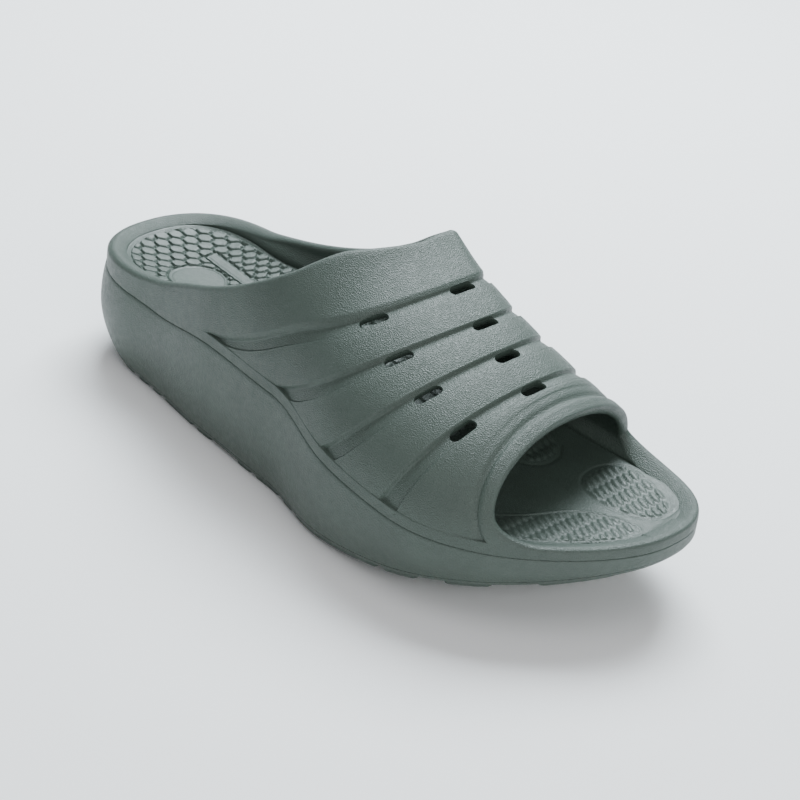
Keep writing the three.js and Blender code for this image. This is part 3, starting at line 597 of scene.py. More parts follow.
def upper_faces():
    """Outer and inner skin of the upper, its flat foot and its rounded rims."""
    stations, angles, lifts = strap_grid()
    lines, rows = stations.shape
    count = stations.size
    grid = np.arange(count).reshape(lines, rows)
    places = [np.stack([stations.ravel(), angles.ravel()], -1)]
    lift = [lifts.ravel()]
    quads = [quad_grid(grid)]

    even = np.arange(1, COLLAR_STRIP + 1) / COLLAR_STRIP
    collar_t = mix(1 - np.cos(RIGHT_ANGLE * even), even, COLLAR_EVENNESS)
    foot, edge = collar_loop(GROOVES[0], angles[0])
    inside = strip(foot, edge, collar_t)
    foot_lift = np.zeros(len(foot))
    foot_lift[END_STEPS : END_STEPS + rows] = lifts[0]
    collar_lift = foot_lift[:, None] * (1 - ease(collar_t * COLLAR_FADE))[None, :]
    collar = np.zeros((len(foot), COLLAR_STRIP + 1), int)
    collar[:, 0] = -1
    collar[END_STEPS : END_STEPS + rows, 0] = grid[0]
    collar, count = fill_strip(collar, count, foot, inside, places, lift, collar_lift)
    quads.append(quad_ring(collar))

    lip_t = np.arange(1, LIP_STRIP + 1) / LIP_STRIP
    foot, edge = toe_loop(CREASE, angles[-1])
    inside = strip(foot, edge, lip_t)
    start = arch(foot[:, 0], foot[:, 1])
    stop = arch(edge[:, 0], edge[:, 1])
    width = np.linalg.norm(stop - start, axis=-1)
    travel = width[:, None] * lip_t[None, :]
    over = np.zeros(len(foot))
    over[END_STEPS : END_STEPS + rows] = 1
    height = ledge_height(inside[..., 0], inside[..., 1])
    fade = ease((height - LIP_FADE["from"]) / LIP_FADE["over"]) * over[:, None]
    raised = LIP_LIFT * ease(travel / LIP_RISE) + crease_profile(-travel)
    lip_lift = raised * fade
    toe = np.zeros((len(foot), LIP_STRIP + 1), int)
    toe[:, 0] = -1
    toe[END_STEPS : END_STEPS + rows, 0] = grid[-1]
    toe, count = fill_strip(toe, count, foot, inside, places, lift, lip_lift)
    quads.append(quad_ring(toe))

    places = np.concatenate(places)
    lift = np.concatenate(lift)
    points = arch(places[:, 0], places[:, 1])
    normals = arch_normal(places[:, 0], places[:, 1])
    within = points - normals * wall_thickness(points)[:, None]
    at_foot = (places[:, 1] < TINY) | (places[:, 1] > math.pi - TINY)
    within[at_foot, 2] = seam_height(within[at_foot, 0])
    outer = points + normals * lift[:, None]
    quads = np.concatenate(quads)
    base = np.concatenate(
        [
            collar[:END_STEPS, 0],
            grid[:, 0],
            toe[:END_STEPS, 0][::-1],
            toe[END_STEPS + rows :, 0][::-1],
            grid[::-1, -1],
            collar[END_STEPS + rows :, 0],
        ]
    )
    after = np.roll(base, -1)
    sole = np.stack([base, after, after + len(outer), base + len(outer)], -1)
    faces = [quads, quads + len(outer), sole]
    vertices = [outer, within]
    total = 2 * len(outer)
    for ring, boxy in ((collar, False), (toe, True)):
        extra, rim = rim_faces(outer, within, ring, total, boxy)
        vertices.append(extra)
        faces.append(rim)
        total += len(extra)
    return np.concatenate(vertices), np.concatenate(faces)


def fill_strip(ring, count, foot, inside, places, lift, strip_lift):
    """Numbers the places of a strip; -1 in its first column marks places that are new there."""
    new = ring[:, 0] < 0
    ring[new, 0] = count + np.arange(new.sum())
    places.append(foot[new])
    lift.append(np.zeros(new.sum()))
    count += int(new.sum())
    ring[:, 1:] = count + np.arange(inside.shape[0] * inside.shape[1]).reshape(inside.shape[:2])
    places.append(inside.reshape(-1, 2))
    lift.append(strip_lift.ravel())
    return ring, count + inside.shape[0] * inside.shape[1]


def quad_grid(grid):
    return np.stack(
        [grid[:-1, :-1].ravel(), grid[1:, :-1].ravel(), grid[1:, 1:].ravel(), grid[:-1, 1:].ravel()], -1
    )


def quad_ring(ring):
    """Quads between neighbouring rows of a closed ring; columns run across it."""
    closed = np.concatenate([ring, ring[:1]])
    return quad_grid(closed)


def rim_faces(outer, within, ring, start, boxy):
    """Rounded rim along a strip's last column; boxy gives the toe's rim a crisper edge."""
    edge = ring[:, -1]
    a, b = outer[edge], within[edge]
    along = outer[np.roll(edge, -1)] - outer[np.roll(edge, 1)]
    inwards = b - a
    width = np.linalg.norm(inwards, axis=-1, keepdims=True)
    inwards = inwards / width
    ahead = unit(np.cross(inwards, along))
    back = outer[ring[:, -2]] - a
    ahead = np.where((ahead * back).sum(-1, keepdims=True) > 0, -ahead, ahead)
    thick = np.clip((width - STRAP_WALL) / (FOOT_WALL - STRAP_WALL), 0, 1)
    slope = mix(2.0, RIM_SLOPE, thick)
    power = np.full((len(edge), 1), 2.0)
    crest = mix(RIM_RADIUS, HEEL_CREST, thick)
    height = np.full_like(width, RIM_RADIUS)
    if boxy:
        low = (a[:, 2] - seam_height(a[:, 0]))[:, None]
        rise = ease((low - TOE_RIM_HEIGHT) / TOE_RIM_BEND["over"])
        power = mix(TOE_RIM_BEND["low"], TOE_RIM_BEND["high"], rise)
        crest = np.full_like(width, RIM_RADIUS)
        thinning = ease((low - TOE_RIM_THINNING["from"]) / TOE_RIM_THINNING["over"])
        height = mix(RIM_RADIUS, LIP_RADIUS, thinning)
    centre = a + inwards * crest
    sections = []
    for k in range(1, 2 * RIM_STEPS):
        turn = RIGHT_ANGLE * k / RIM_STEPS
        outside = turn <= RIGHT_ANGLE
        reach = crest if outside else width - crest
        bend = power if outside else slope
        side = -np.sign(math.cos(turn)) * abs(math.cos(turn)) ** (2 / bend)
        lift = math.sin(turn) ** (2 / bend)
        sections.append(centre + inwards * reach * side + ahead * height * lift)
    extra = np.stack(sections, 1)
    number = start + np.arange(extra.shape[0] * extra.shape[1]).reshape(extra.shape[:2])
    strip_numbers = np.concatenate([edge[:, None], number, edge[:, None] + len(outer)], 1)
    return extra.reshape(-1, 3), quad_ring(strip_numbers)


def ring_places():
    turn = np.arange(PERIMETER) / PERIMETER * 2
    side = np.where(turn <= 1, OUTER, INNER)
    folded = np.where(turn <= 1, turn, 2 - turn)
    return LENGTH * (1 - np.cos(math.pi * folded)) / 2, side


def inwards(x, side, inset, share):
    """Point on the way from the outline, moved in by inset, to the middle line of the sole."""
    edge = outline(x, side, inset)
    middle_x = np.clip(x, MIDDLE_LINE["start"] * LENGTH, MIDDLE_LINE["end"] * LENGTH)
    middle = np.stack([middle_x, plan_centre(middle_x / LENGTH) * BALL_WIDTH], -1)
    return mix(edge, middle, share)


def tread_inset(x):
    """Inset of the tread's edge: the heel is tucked in."""
    tuck = np.maximum(0, 1 - x / (HEEL_LIFT["start"] * LENGTH))
    return TREAD_INSET + HEEL_TUCK * tuck ** HEEL_LIFT["power"]


def side_inset(x, above):
    """How far the sole's side lies in from its widest line, at a height above the tread."""
    share = above / (seam_height(x) - tread_height(x))
    low = tread_inset(x) * np.maximum(1 - share / WIDEST, 0) ** 2
    high = wall_inset(x) * (np.maximum(share - WIDEST, 0) / (1 - WIDEST)) ** 2
    return np.where(share < WIDEST, low, high)


def ring_solid(rings):
    """Closed solid from a stack of rings (inset, share, height function of x)."""
    x, side = ring_places()
    loops = []
    for inset, share, height in rings:
        flat = inwards(x, side, inset(x), share)
        loops.append(np.concatenate([flat, height(flat[:, 0])[:, None]], -1))
    points = np.concatenate(loops)
    ring = np.arange(len(points)).reshape(len(loops), -1).T
    return points, quad_ring(ring)


MIDSOLE_FOOT = LUG_HEIGHT + PLATE_THICKNESS + SEAM_GAP
SIDE_RINGS = 22
EDGE_ROUND = 0.5
TREAD_SHARES = (1, 0.7, 0.35, 0.1, 0)


def midsole_faces():
    def foot(x):
        return tread_height(x) + MIDSOLE_FOOT

    def top(x):
        return seam_height(x) - SEAM_GAP

    def tray(x):
        return top(x) - TRAY_DEPTH

    def tray_inset(x):
        return wall_inset(x) + FOOT_WALL

    rings = [(lambda x: side_inset(x, MIDSOLE_FOOT), share, foot) for share in TREAD_SHARES[:-1]]
    for k in range(SIDE_RINGS + 1):
        t = k / SIDE_RINGS
        rings.append(
            (
                lambda x, t=t: side_inset(x, mix(foot(x), top(x) - EDGE_ROUND, t) - tread_height(x)),
                0,
                lambda x, t=t: mix(foot(x), top(x) - EDGE_ROUND, t),
            )
        )
    for turn in (30, 60, 90):
        bend = math.radians(turn)
        rings.append(
            (
                lambda x, bend=bend: wall_inset(x) + EDGE_ROUND * (1 - math.cos(bend)),
                0,
                lambda x, bend=bend: top(x) - EDGE_ROUND * (1 - math.sin(bend)),
            )
        )
    rings.append((tray_inset, 0, top))
    rings.extend((tray_inset, share, tray) for share in (0, 0.35, 0.7, 1))
    return ring_solid(rings)


def plate_faces():
    def foot(x):
        return tread_height(x) + LUG_HEIGHT

    def top(x):
        return foot(x) + PLATE_THICKNESS

    def top_inset(x):
        return side_inset(x, LUG_HEIGHT + PLATE_THICKNESS)

    rings = [(lambda x: side_inset(x, LUG_HEIGHT), share, foot) for share in TREAD_SHARES]
    rings.extend((top_inset, share, top) for share in reversed(TREAD_SHARES))
    return ring_solid(rings)


def rounded_rectangle(length, width, inset):
    """Points round a rectangle with rounded corners, moved inwards by inset, about its middle."""
    half_l, half_w = length / 2 - inset, width / 2 - inset
    radius = max(min(LUG_CORNER - inset, half_l, half_w), 0.01)
    points = []
    for cx, cy, start in ((1, 1, 0), (-1, 1, 90), (-1, -1, 180), (1, -1, 270)):
        for degrees in range(0, 91, 18):
            bend = math.radians(start + degrees)
            along = cx * (half_l - radius) + radius * math.cos(bend)
            points.append((along, cy * (half_w - radius) + radius * math.sin(bend)))
        here = points[-1]
        steps = 10 if cy * cx > 0 else 6
        run = {0: (-2 * (half_l - radius), 0), 90: (0, -2 * (half_w - radius))}.get(start % 180)
        run = (run[0] * (1 if start == 0 else -1), run[1] * (1 if start == 90 else -1))
        shares = (k / steps for k in range(1, steps))
        points.extend((here[0] + run[0] * share, here[1] + run[1] * share) for share in shares)
    return np.array(points)


def lug_faces(x0, x1, width, place):
    """One lug: place(x, across) gives its plan, across in mm from its outer edge."""
    length = x1 - x0
    middle = min(length, width) / 2 - 0.02
    edge = [(LUG_CHAMFER * inset, LUG_CHAMFER * lift) for inset, lift in LUG_EDGE]
    flat = [(mix(LUG_CHAMFER, middle, 0.5), 0), (middle, 0)]
    levels = [(0, LUG_HEIGHT + PLATE_THICKNESS / 2), *edge, *flat]
    loops = []
    for inset, lift in levels:
        flat = rounded_rectangle(length, width, inset)
        x = (x0 + x1) / 2 + flat[:, 0]
        plan = place(x, width / 2 + flat[:, 1])
        loops.append(np.concatenate([plan, (tread_height(plan[:, 0]) + lift)[:, None]], -1))
    points = np.concatenate(loops)
    size = len(loops[0])
    ring = np.arange(len(points)).reshape(len(loops), size).T
    return points, quad_ring(ring), (ring[:, 0], ring[:, -1])


def outsole_faces():
    parts = [(*plate_faces(), ())]
    bar_inset = TREAD_INSET + LUG_WIDTH + LUG_CHANNEL
    for lug in LUGS:
        x0 = lug["from"] * LENGTH + LUG_GAP / 2
        x1 = lug["to"] * LENGTH - LUG_GAP / 2
        for side in (OUTER, INNER):

            def edge_lug(x, w, side=side):
                return outline(x, side, tread_inset(x) + w)

            parts.append(lug_faces(x0, x1, LUG_WIDTH, edge_lug))
        if lug["middle"]:
            middle = np.array([(x0 + x1) / 2])
            edge = [outline(middle, side, bar_inset)[0, 1] for side in (OUTER, INNER)]
            width = edge[1] - edge[0]

            def bar(x, w, width=width):
                low, high = outline(x, OUTER, bar_inset), outline(x, INNER, bar_inset)
                return mix(low, high, (w / width)[:, None])

            parts.append(lug_faces(x0, x1, width, bar))
    return parts


# Footbed. Cells: raised hexagons; pitch_x and pitch_y are their spacing along and across the foot.
BED_COLUMNS = 172
BED_HALF_WIDTH = 36.0
# Rows of the bed. to: station where the spacing ends.
BED_ROWS = table(("to", "step"), (120, 0.5), (222, 0.8), (LENGTH, 0.4))
END_CROWD = 0.02
END_GAP = 1e-3
CELL_HEIGHT = 1.1
CELL_GAP = 0.3
CELL_SLOPE = 0.55
# Fillets of the bed's edge: at the toe it rises to the rim, at the heel by its lift.
TOE_FILLET = {"from": 192.0, "over": 20.0, "inset": 1.7, "rim": 2.2, "width": 3.5}
HEEL_FILLET = {"to": 62.0, "over": 20.0, "lift": 0.9}
BED_MARGIN = 1.6
BADGE = {"x": 50.5, "y": -8.5, "radius": 12.8}
PLATE = {"x": 51.0, "y": 9.2, "length": 30.0, "width": 6.4, "tilt": -4.0}
PLATE_HEIGHT = 0.9
LINE_WIDTH = 0.45
LINE_DEPTH = 0.35
HEEL_CELLS = {"row": 5.7, "front_row": 4.3, "pitch": 6.4, "start": 30.0, "stop": 56.0}
HEEL_CELLS |= {"lean": 0.3, "end": 200.0}
TOE_CELLS = {"pitch_x": 7.2, "pitch_y": 3.3, "lean": -0.36, "height": 0.75}
TOE_CELLS |= {"gap": 0.1, "slope": 0.75, "dip": 0.7}
BIG_TOE_PAD = {"x": 258.5, "y": 33.5, "long": 19.5, "wide": 15.0, "turn": 4.0}
BALL_PAD = {"x": 195.0, "y": 25.0, "long": 32.0, "wide": 17.0, "turn": -3.0}
# Outline of the pad along the outer toes: its inner ridge, front to back, then its outer side.
SIDE_PAD = [
    (279, 14.5), (275.5, 17), (268, 16), (260, 12), (253, 5.5), (248, -4.5), (243, -14),
    (236, -22), (226, -28), (212, -31), (204, -35), (206, -41), (222, -42), (238, -38),
    (250, -31), (260, -22), (268, -12), (275, 0), (279, 9),
]


def closed_curve(points, steps):
    """Smooth closed line through the points."""
    p = np.array(points, float)
    t = np.arange(steps)[:, None] / steps
    out = []
    for i in range(len(p)):
        a, b, c, d = p[i - 1], p[i], p[(i + 1) % len(p)], p[(i + 2) % len(p)]
        out.append(
            b + 0.5 * t * (c - a + t * (2 * a - 5 * b + 4 * c - d + t * (3 * (b - c) + d - a)))
        )
    return np.concatenate(out)


def inside_distance(loop, x, y):
    """Distance from a closed line, positive inside it."""
    a, b = loop, np.roll(loop, -1, 0)
    point = np.stack([x, y], -1)
    best = np.full(x.shape, 1e9)
    crossings = np.zeros(x.shape, int)
    for p, q in zip(a, b):
        run = q - p
        t = np.clip(((point - p) @ run) / max(run @ run, 1e-9), 0, 1)
        best = np.minimum(best, np.hypot(*(point - p - t[..., None] * run).T).T)
        straddle = (p[1] > y) != (q[1] > y)
        if q[1] != p[1]:
            crossings += straddle & (x < p[0] + (y - p[1]) / (q[1] - p[1]) * run[0])
    return np.where(crossings % 2 == 1, best, -best)


def ellipse_distance(pad, x, y):
    """About the distance inside an oval pad."""
    turn = math.radians(pad["turn"])
    u = (x - pad["x"]) * math.cos(turn) + (y - pad["y"]) * math.sin(turn)
    v = -(x - pad["x"]) * math.sin(turn) + (y - pad["y"]) * math.cos(turn)
    radius = (np.abs(u / pad["long"]) ** 2.3 + np.abs(v / pad["wide"]) ** 2.3) ** (1 / 2.3)
    return (1 - radius) * min(pad["long"], pad["wide"])


def hexagon(u, v):
    """Distance to the nearest cell's border on a grid of unit hexagons, 0.5 at their middles."""
    height = math.sqrt(3)
    a = np.stack([np.mod(u, 1) - 0.5, np.mod(v, height) - height / 2], -1)
    b = np.stack([np.mod(u - 0.5, 1) - 0.5, np.mod(v - height / 2, height) - height / 2], -1)
    near = np.where(((a**2).sum(-1) < (b**2).sum(-1))[..., None], a, b)
    near = np.abs(near)
    return 0.5 - np.maximum(near[..., 0], near[..., 0] * 0.5 + near[..., 1] * height / 2)


def plateau(distance, gap, slope):
    return ease((distance - gap / 2) / slope)


def heel_cells(x, y):
    """Raised cells of the heel, smaller and closer towards the arch."""
    cells = HEEL_CELLS
    along = np.linspace(-20, 160, 721)
    change = ease((along - cells["start"]) / (cells["stop"] - cells["start"]))
    pitch = mix(cells["row"], cells["front_row"], change)
    count = np.concatenate([[0], np.cumsum(np.diff(along) / pitch[1:])])
    lean = cells["lean"] * (1 - 0.6 * ease((x - 30) / 60))
    v = np.interp(x - lean * y, along, count) * math.sqrt(3) / 2
    border = hexagon(y / cells["pitch"], v)
    local = np.interp(x, along, pitch)
    return plateau(border * local, CELL_GAP, CELL_SLOPE)


def toe_cells(x, y):
    """Long scales of the toe pads: a little crowned, with narrow gaps."""
    cells = TOE_CELLS
    across = (y - cells["lean"] * x) / cells["pitch_y"]
    border = hexagon(across, x / cells["pitch_x"] * math.sqrt(3) / 2)
    scale = plateau(border * cells["pitch_y"], cells["gap"], cells["slope"])
    return scale * mix(cells["dip"], 1, ease(border * 2))


def line_relief(distance, depth):
    """A fine line: cut in where depth is negative, standing where it is positive."""
    return depth * np.exp(-((distance / LINE_WIDTH) ** 2))


def bed_inset(x):
    """Inset of the bed's edge; at the toe it runs in under the slope of the rim."""
    toe = ease((x - TOE_FILLET["from"]) / TOE_FILLET["over"])
    return wall_inset(x) + FOOT_WALL + BED_GAP - TOE_FILLET["inset"] * toe


def bed_share_at(x, y):
    """0 at the footbed's edge, 1 on its middle line."""
    result = np.ones_like(x)
    start, end = MIDDLE_LINE["start"] * LENGTH, MIDDLE_LINE["end"] * LENGTH
    centre = plan_centre(np.clip(x, start, end) / LENGTH) * BALL_WIDTH
    stations = np.linspace(0, LENGTH, 1500)
    for side in (OUTER, INNER):
        edge = outline(stations, side, bed_inset(stations))
        order = np.argsort(edge[:, 0])
        half = np.abs(np.interp(x, edge[order, 0], edge[order, 1]) - centre)
        on_side = (y - centre) * side >= 0
        straight = 1 - np.abs(y - centre) / np.maximum(half, 1e-3)
        result = np.where(on_side, straight, result)
        for middle_x, ahead in ((start, -1), (end, 1)):
            middle = np.array([middle_x, plan_centre(middle_x / LENGTH) * BALL_WIDTH])
            rays = edge - middle
            keep = rays[:, 0] * ahead > -2
            turn = np.arctan2(np.abs(rays[keep, 1]), rays[keep, 0] * ahead)
            size = np.hypot(*rays[keep].T)
            order = np.argsort(turn)
            mine_turn = np.arctan2(np.abs(y - middle[1]), (x - middle_x) * ahead)
            mine_size = np.hypot(x - middle_x, y - middle[1])
            radial = 1 - mine_size / np.interp(mine_turn, turn[order], size[order])
            beyond = (x - middle_x) * ahead > 0
            result = np.where(on_side & beyond, radial, result)
    return np.clip(result, 0, 1)


def bed_relief(x, y, margin):
    """Height of cells, pads, badge and plate above the plain bed; margin is the distance to its edge."""
    badge = BADGE["radius"] - np.hypot(x - BADGE["x"], y - BADGE["y"])
    turn = math.radians(PLATE["tilt"])
    u = (x - PLATE["x"]) * math.cos(turn) + (y - PLATE["y"]) * math.sin(turn)
    v = -(x - PLATE["x"]) * math.sin(turn) + (y - PLATE["y"]) * math.cos(turn)
    plate = np.minimum(PLATE["length"] / 2 - np.abs(u), PLATE["width"] / 2 - np.abs(v))
    end = HEEL_CELLS["end"] - x - 0.004 * y**2
    heel = ease((margin - BED_MARGIN) / 0.8) * ease(end / 1.5)
    heel *= ease((-badge - 0.3) / 0.5) * ease((-plate - 0.3) / 0.5)
    relief = CELL_HEIGHT * heel * heel_cells(x, y)
    relief += line_relief(badge - 1.6, -LINE_DEPTH) + line_relief(plate - 1.1, -LINE_DEPTH * 0.6)
    relief += PLATE_HEIGHT * ease(np.maximum(badge, plate) / 0.5)
    scales = toe_cells(x, y) * TOE_CELLS["height"]
    side = inside_distance(closed_curve(SIDE_PAD, 6), x, y)
    for distance in (ellipse_distance(BIG_TOE_PAD, x, y), ellipse_distance(BALL_PAD, x, y)):
        relief += scales * ease((distance - 0.9) / 0.9) * ease((margin - 2.2) / 1.5)
        relief += line_relief(distance, -LINE_DEPTH)
    relief += scales * ease((side - 0.9) / 0.9) * ease((margin - 0.6) / 1.0)
    relief += line_relief(side, 0.45) * ease((margin - 2.0) / 3.0)
    return relief


def footbed_faces():
    stations = np.linspace(0, LENGTH, 4000)
    outer = outline(stations, OUTER, bed_inset(stations))
    inner = outline(stations, INNER, bed_inset(stations))
    first = max(outer[:, 0].min(), inner[:, 0].min())
    last = min(outer[:, 0].max(), inner[:, 0].max())
    crowd = END_CROWD * np.arange(1, 17) ** 2
    middle, start = [], first + crowd[-1]
    for part in BED_ROWS:
        stop = min(part["to"], last - crowd[-1])
        count = round((stop - start) / part["step"])
        middle.append(np.linspace(start, stop, count, endpoint=stop < part["to"]))
        start = stop
    middle = np.concatenate(middle)
    head, tail = first + crowd[:-1], (last - crowd[:-1])[::-1]
    rows = np.concatenate([[first + END_GAP], head, middle, tail, [last - END_GAP]])

    def crossing(edge, x):
        order = np.argsort(edge[:, 0], kind="stable")
        return np.interp(x, edge[order, 0], edge[order, 1])

    low, high = crossing(outer, rows), crossing(inner, rows)
    columns = BED_COLUMNS
    t = np.arange(columns + 1) / columns
    x = np.repeat(rows[:, None], columns + 1, 1)
    y = mix(low[:, None], high[:, None], t[None, :])
    share = bed_share_at(x, y)
    margin = share * BED_HALF_WIDTH
    dish = BED_DISH * dish_share(x / LENGTH) * (1 - (1 - share) ** 2)
    fillet = np.maximum(seam_height(x) + TOE_FILLET["rim"] - bed_edge_height(x), 0)
    fillet = fillet * ease((x - TOE_FILLET["from"]) / TOE_FILLET["over"])
    fillet = fillet + HEEL_FILLET["lift"] * ease((HEEL_FILLET["to"] - x) / HEEL_FILLET["over"])
    fillet = fillet * (1 - ease(margin / TOE_FILLET["width"]))
    z = bed_edge_height(x) - dish + fillet + bed_relief(x, y, margin)
    top = np.stack([x, y, z], -1)
    grid = np.arange(x.size).reshape(x.shape)
    round_trip = np.concatenate([grid[:, 0], grid[-1, 1:-1], grid[::-1, -1], grid[0, 1:-1][::-1]])
    points = top.reshape(-1, 3)
    skirt = points[round_trip].copy()
    skirt[:, 2] = seam_height(skirt[:, 0]) - TRAY_DEPTH
    number = len(points) + np.arange(len(skirt))
    after = np.roll(round_trip, -1)
    sides = np.stack([round_trip, after, np.roll(number, -1), number], -1)
    left = number[: len(rows)]
    right = number[len(rows) + columns - 1 : 2 * len(rows) + columns - 1][::-1]
    bottom = np.stack([left[:-1], left[1:], right[1:], right[:-1]], -1)
    toe_end = list(number[len(rows) - 1 : len(rows) + columns])
    heel_end = [number[0]] + list(number[2 * len(rows) + columns - 2 :])
    faces = np.concatenate([quad_grid(grid), sides, bottom])
    return np.concatenate([points, skirt]), faces, [toe_end, heel_end]


def to_part(points):
    """From the shoe's frame in mm to the part's frame in metres."""
    x, side = ring_places()
    widths = outline(x, side)[:, 1]
    middle = (widths.min() + widths.max()) / 2
    return (points - np.array([LENGTH / 2, middle, 0])) * MILLIMETRE


def make_mesh(name, points, faces, polygons=(), weld=2e-6):
    """A mesh object from points in the shoe's frame, with its faces turned outwards."""
    mesh = bpy.data.meshes.new(name)
    corners = faces.tolist() + [list(map(int, polygon)) for polygon in polygons]
    mesh.from_pydata(to_part(points).tolist(), [], corners)
    shape = bmesh.new()
    shape.from_mesh(mesh)
    bmesh.ops.remove_doubles(shape, verts=shape.verts, dist=weld)
    bmesh.ops.dissolve_degenerate(shape, edges=shape.edges, dist=1e-7)
    bmesh.ops.recalc_face_normals(shape, faces=shape.faces)
    shape.to_mesh(mesh)
    shape.free()
    piece = bpy.data.objects.new(name, mesh)
    bpy.context.scene.collection.objects.link(piece)
    return piece


def shade(piece, degrees=38):
    piece.data.shade_smooth()
    piece.data.set_sharp_from_angle(angle=math.radians(degrees))


def slot_cutter(groove, angle):
    """Bar with round ends and a flared mouth, square to the strap's surface."""
    front = front_line(groove)
    floor = {key: mix(groove[key], front[key], 0.5) for key in front}

    def at(turn):
        turn = np.array(turn)
        return arch(line_station(floor, turn), turn)

    along = unit(at(angle + SLOT_TURN) - at(angle - SLOT_TURN))
    out = arch_normal(line_station(floor, np.array(angle)), angle)
    across = unit(np.cross(out, along))
    square = np.cross(across, out)
    half = (SLOT_LENGTH - SLOT_WIDTH) / 2
    levels = (
        (6.0, 2.2), (-GROOVE_DEPTH + 0.1, 1.1), (-GROOVE_DEPTH - 0.25, 0.35),
        (-GROOVE_DEPTH - 0.7, 0), (-STRAP_WALL + 0.5, 0), (-STRAP_WALL - 0.2, 1), (-11, 2.2),
    )
    bends = np.radians(np.arange(-90, 91, 15))
    loops = []
    for depth, flare in levels:
        radius = SLOT_WIDTH / 2 + SLOT_FLARE * flare
        right = np.stack([half + radius * np.cos(bends), radius * np.sin(bends)], -1)
        flat = np.concatenate([right, -right])
        loops.append(at(angle) + flat[:, :1] * square + flat[:, 1:] * across + depth * out)
    points = np.concatenate(loops)
    size = len(loops[0])
    ring = np.arange(len(points)).reshape(len(loops), size).T
    return points, quad_ring(ring), (ring[:, 0], ring[:, -1])


def cut(piece, cutters):
    """Cuts the cutters out of the piece, and deletes them."""
    for cutter in cutters:
        change = piece.modifiers.new("cut", "BOOLEAN")
        change.operation = "DIFFERENCE"
        change.solver = "EXACT"
        change.object = cutter
    graph = bpy.context.evaluated_depsgraph_get()
    mesh = bpy.data.meshes.new_from_object(piece.evaluated_get(graph))
    piece.modifiers.clear()
    old = piece.data
    piece.data = mesh
    bpy.data.meshes.remove(old)
    for cutter in cutters:
        bpy.data.meshes.remove(cutter.data)


def foam(name, grain, pebble, colour=(0.05, 0.071, 0.058), roughness=0.47):
    """Moulded foam: a little mottled, with a fine grain. grain: strength; pebble: its size in mm."""
    material = bpy.data.materials.new(name)
    material.use_nodes = True
    tree = material.node_tree
    shader = tree.nodes["Principled BSDF"]
    place = tree.nodes.new("ShaderNodeTexCoord").outputs["Object"]

    def noise(scale, detail, rough=0.5):
        node = tree.nodes.new("ShaderNodeTexNoise")
        node.inputs["Scale"].default_value = scale
        node.inputs["Detail"].default_value = detail
        node.inputs["Roughness"].default_value = rough
        tree.links.new(place, node.inputs["Vector"])
        return node.outputs["Fac"]

    def ramp(value, stops):
        node = tree.nodes.new("ShaderNodeValToRGB")
        first, last = node.color_ramp.elements
        (first.position, first.color), (last.position, last.color) = stops
        tree.links.new(value, node.inputs["Fac"])
        return node.outputs["Color"]

    mottle = noise(45, 3)
    dark = tuple(c * 0.93 for c in colour) + (1,)
    light = tuple(c * 1.07 for c in colour) + (1,)
    tree.links.new(ramp(mottle, ((0.35, dark), (0.65, light))), shader.inputs["Base Color"])
    low, high = (roughness - 0.06,) * 3 + (1,), (roughness + 0.08,) * 3 + (1,)
    tree.links.new(ramp(noise(400, 2), ((0.3, low), (0.7, high))), shader.inputs["Roughness"])
    shader.inputs["Specular IOR Level"].default_value = 0.5
    cells = tree.nodes.new("ShaderNodeTexVoronoi")
    cells.feature = "SMOOTH_F1"
    cells.inputs["Scale"].default_value = 1000 / pebble
    cells.inputs["Smoothness"].default_value = 0.6
    tree.links.new(place, cells.inputs["Vector"])
    fine = tree.nodes.new("ShaderNodeBump")
    fine.inputs["Strength"].default_value = grain
    fine.inputs["Distance"].default_value = 0.0007 * pebble
    tree.links.new(cells.outputs["Distance"], fine.inputs["Height"])
    broad = tree.nodes.new("ShaderNodeBump")
    broad.inputs["Strength"].default_value = 0.12
    broad.inputs["Distance"].default_value = 0.0004
    tree.links.new(noise(160, 3), broad.inputs["Height"])
    tree.links.new(fine.outputs["Normal"], broad.inputs["Normal"])
    tree.links.new(broad.outputs["Normal"], shader.inputs["Normal"])
    return material


def finish_piece(piece, node, material, degrees=38):
    shade(piece, degrees)
    piece.data.materials.clear()
    piece.data.materials.append(material)
    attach(piece, "root")
    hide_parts(node)


def make_upper(material):
    piece = make_mesh("strap_upper", *upper_faces())
    places = [(groove, math.radians(degrees)) for groove in GROOVES for degrees in SLOT_ANGLES]
    cut(piece, [make_mesh("slot", *slot_cutter(*place)) for place in places])
    finish_piece(piece, "upper", material)


def make_footbed(material):
    piece = make_mesh("contoured_footbed", *footbed_faces())
    finish_piece(piece, "footbed", material, 50)


def make_midsole(material):
    piece = make_mesh("foam_midsole", *midsole_faces())
    finish_piece(piece, "midsole", material)


def make_outsole(material):
    points, faces, polygons, count = [], [], [], 0
    for part_points, part_faces, caps in outsole_faces():
        points.append(part_points)
        faces.append(part_faces + count)
        polygons.extend(cap + count for cap in caps)
        count += len(part_points)
    piece = make_mesh("lugged_outsole", np.concatenate(points), np.concatenate(faces), polygons)
    finish_piece(piece, "outsole", material)


# Camera at the photo's angle, in degrees: azimuth from the outer side towards the toe.
CAMERA = {"azimuth": 43.65, "elevation": 29.95, "roll": 6.7, "distance": 0.7497, "lens": 84.7}
TARGET = (0.0, 0.0, 0.0428)
SHIFT = (0.0457, -0.0396)


def placed(name, data, axes, place):
    """Object with the given data, axes and place."""
    thing = bpy.data.objects.new(name, data)
    matrix = np.eye(4)
    matrix[:3, :3] = np.array(axes).T
    matrix[:3, 3] = place
    thing.matrix_world = Matrix(matrix.tolist())
    bpy.context.scene.collection.objects.link(thing)
    return thing


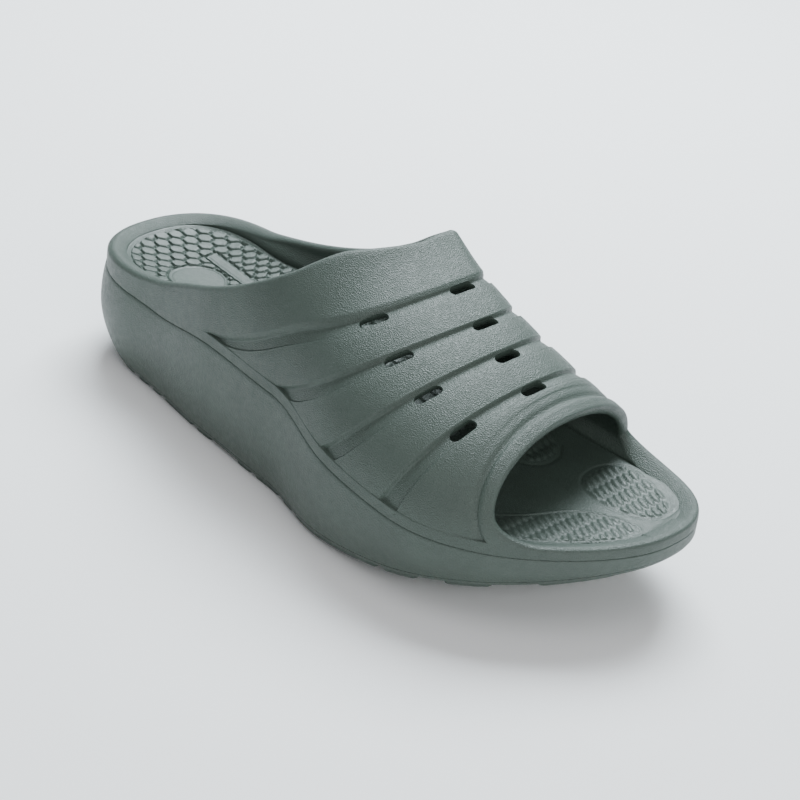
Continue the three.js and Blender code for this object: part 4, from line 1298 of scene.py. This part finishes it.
def make_camera():
    a, e, r = (math.radians(CAMERA[k]) for k in ("azimuth", "elevation", "roll"))
    back = np.array([math.sin(a) * math.cos(e), -math.cos(a) * math.cos(e), math.sin(e)])
    right = np.array([math.cos(a), math.sin(a), 0])
    up = np.cross(back, right)
    rolled = right * math.cos(r) + up * math.sin(r)
    upright = -right * math.sin(r) + up * math.cos(r)
    data = bpy.data.cameras.new("camera")
    data.lens = CAMERA["lens"]
    data.sensor_width = 36
    data.sensor_fit = "HORIZONTAL"
    data.shift_x, data.shift_y = SHIFT
    data.clip_start = 0.05
    place = np.array(TARGET) + back * CAMERA["distance"]
    bpy.context.scene.camera = placed("camera", data, (rolled, upright, back), place)


def area_light(name, place, aim, size, power, colour=(1, 1, 1)):
    data = bpy.data.lights.new(name, "AREA")
    data.shape = "RECTANGLE"
    data.size, data.size_y = size
    data.energy = power
    data.color = colour
    z = unit(np.array(place, float) - np.array(aim, float))
    x = unit(np.cross([0, 0, 1], z))
    placed(name, data, (x, np.cross(z, x), z), place)


# Soft boxes: name, place, aim, size, power and, for the first, a cool colour.
LIGHTS = (
    ("key_box", (-0.4, 0.58, 0.98), (0, 0, 0.04), (0.8, 0.7), 38, (0.86, 0.95, 1)),
    ("side_box", (1.0, -0.4, 0.6), (0.05, 0, 0.04), (0.6, 0.6), 5),
    ("front_box", (0.15, -0.35, 1.25), (0.1, -0.1, 0), (1.0, 1.0), 3),
)


def make_studio():
    world = bpy.data.worlds.new("studio")
    world.use_nodes = True
    world.node_tree.nodes["Background"].inputs["Color"].default_value = (0.93, 0.96, 1.0, 1)
    world.node_tree.nodes["Background"].inputs["Strength"].default_value = 0.4
    bpy.context.scene.world = world
    for light in LIGHTS:
        area_light(*light)
    floor_mesh = bpy.data.meshes.new("floor")
    reach = 6.0
    corners = [(-reach, -reach, 0), (reach, -reach, 0), (reach, reach, 0), (-reach, reach, 0)]
    floor_mesh.from_pydata(corners, [], [(0, 1, 2, 3)])
    floor = bpy.data.objects.new("floor", floor_mesh)
    bpy.context.scene.collection.objects.link(floor)
    paper = bpy.data.materials.new("pale_floor")
    paper.use_nodes = True
    shader = paper.node_tree.nodes["Principled BSDF"]
    shader.inputs["Base Color"].default_value = (0.96, 0.96, 0.96, 1)
    shader.inputs["Roughness"].default_value = 0.9
    floor_mesh.materials.append(paper)


make_camera()
make_studio()
banded = foam("banded_foam", 0.75, 0.42)
smooth = foam("smooth_foam", 0.45, 0.6)
make_upper(banded)
make_footbed(foam("footbed_foam", 0.35, 0.5))
make_midsole(smooth)
make_outsole(foam("tread_foam", 0.4, 0.6))
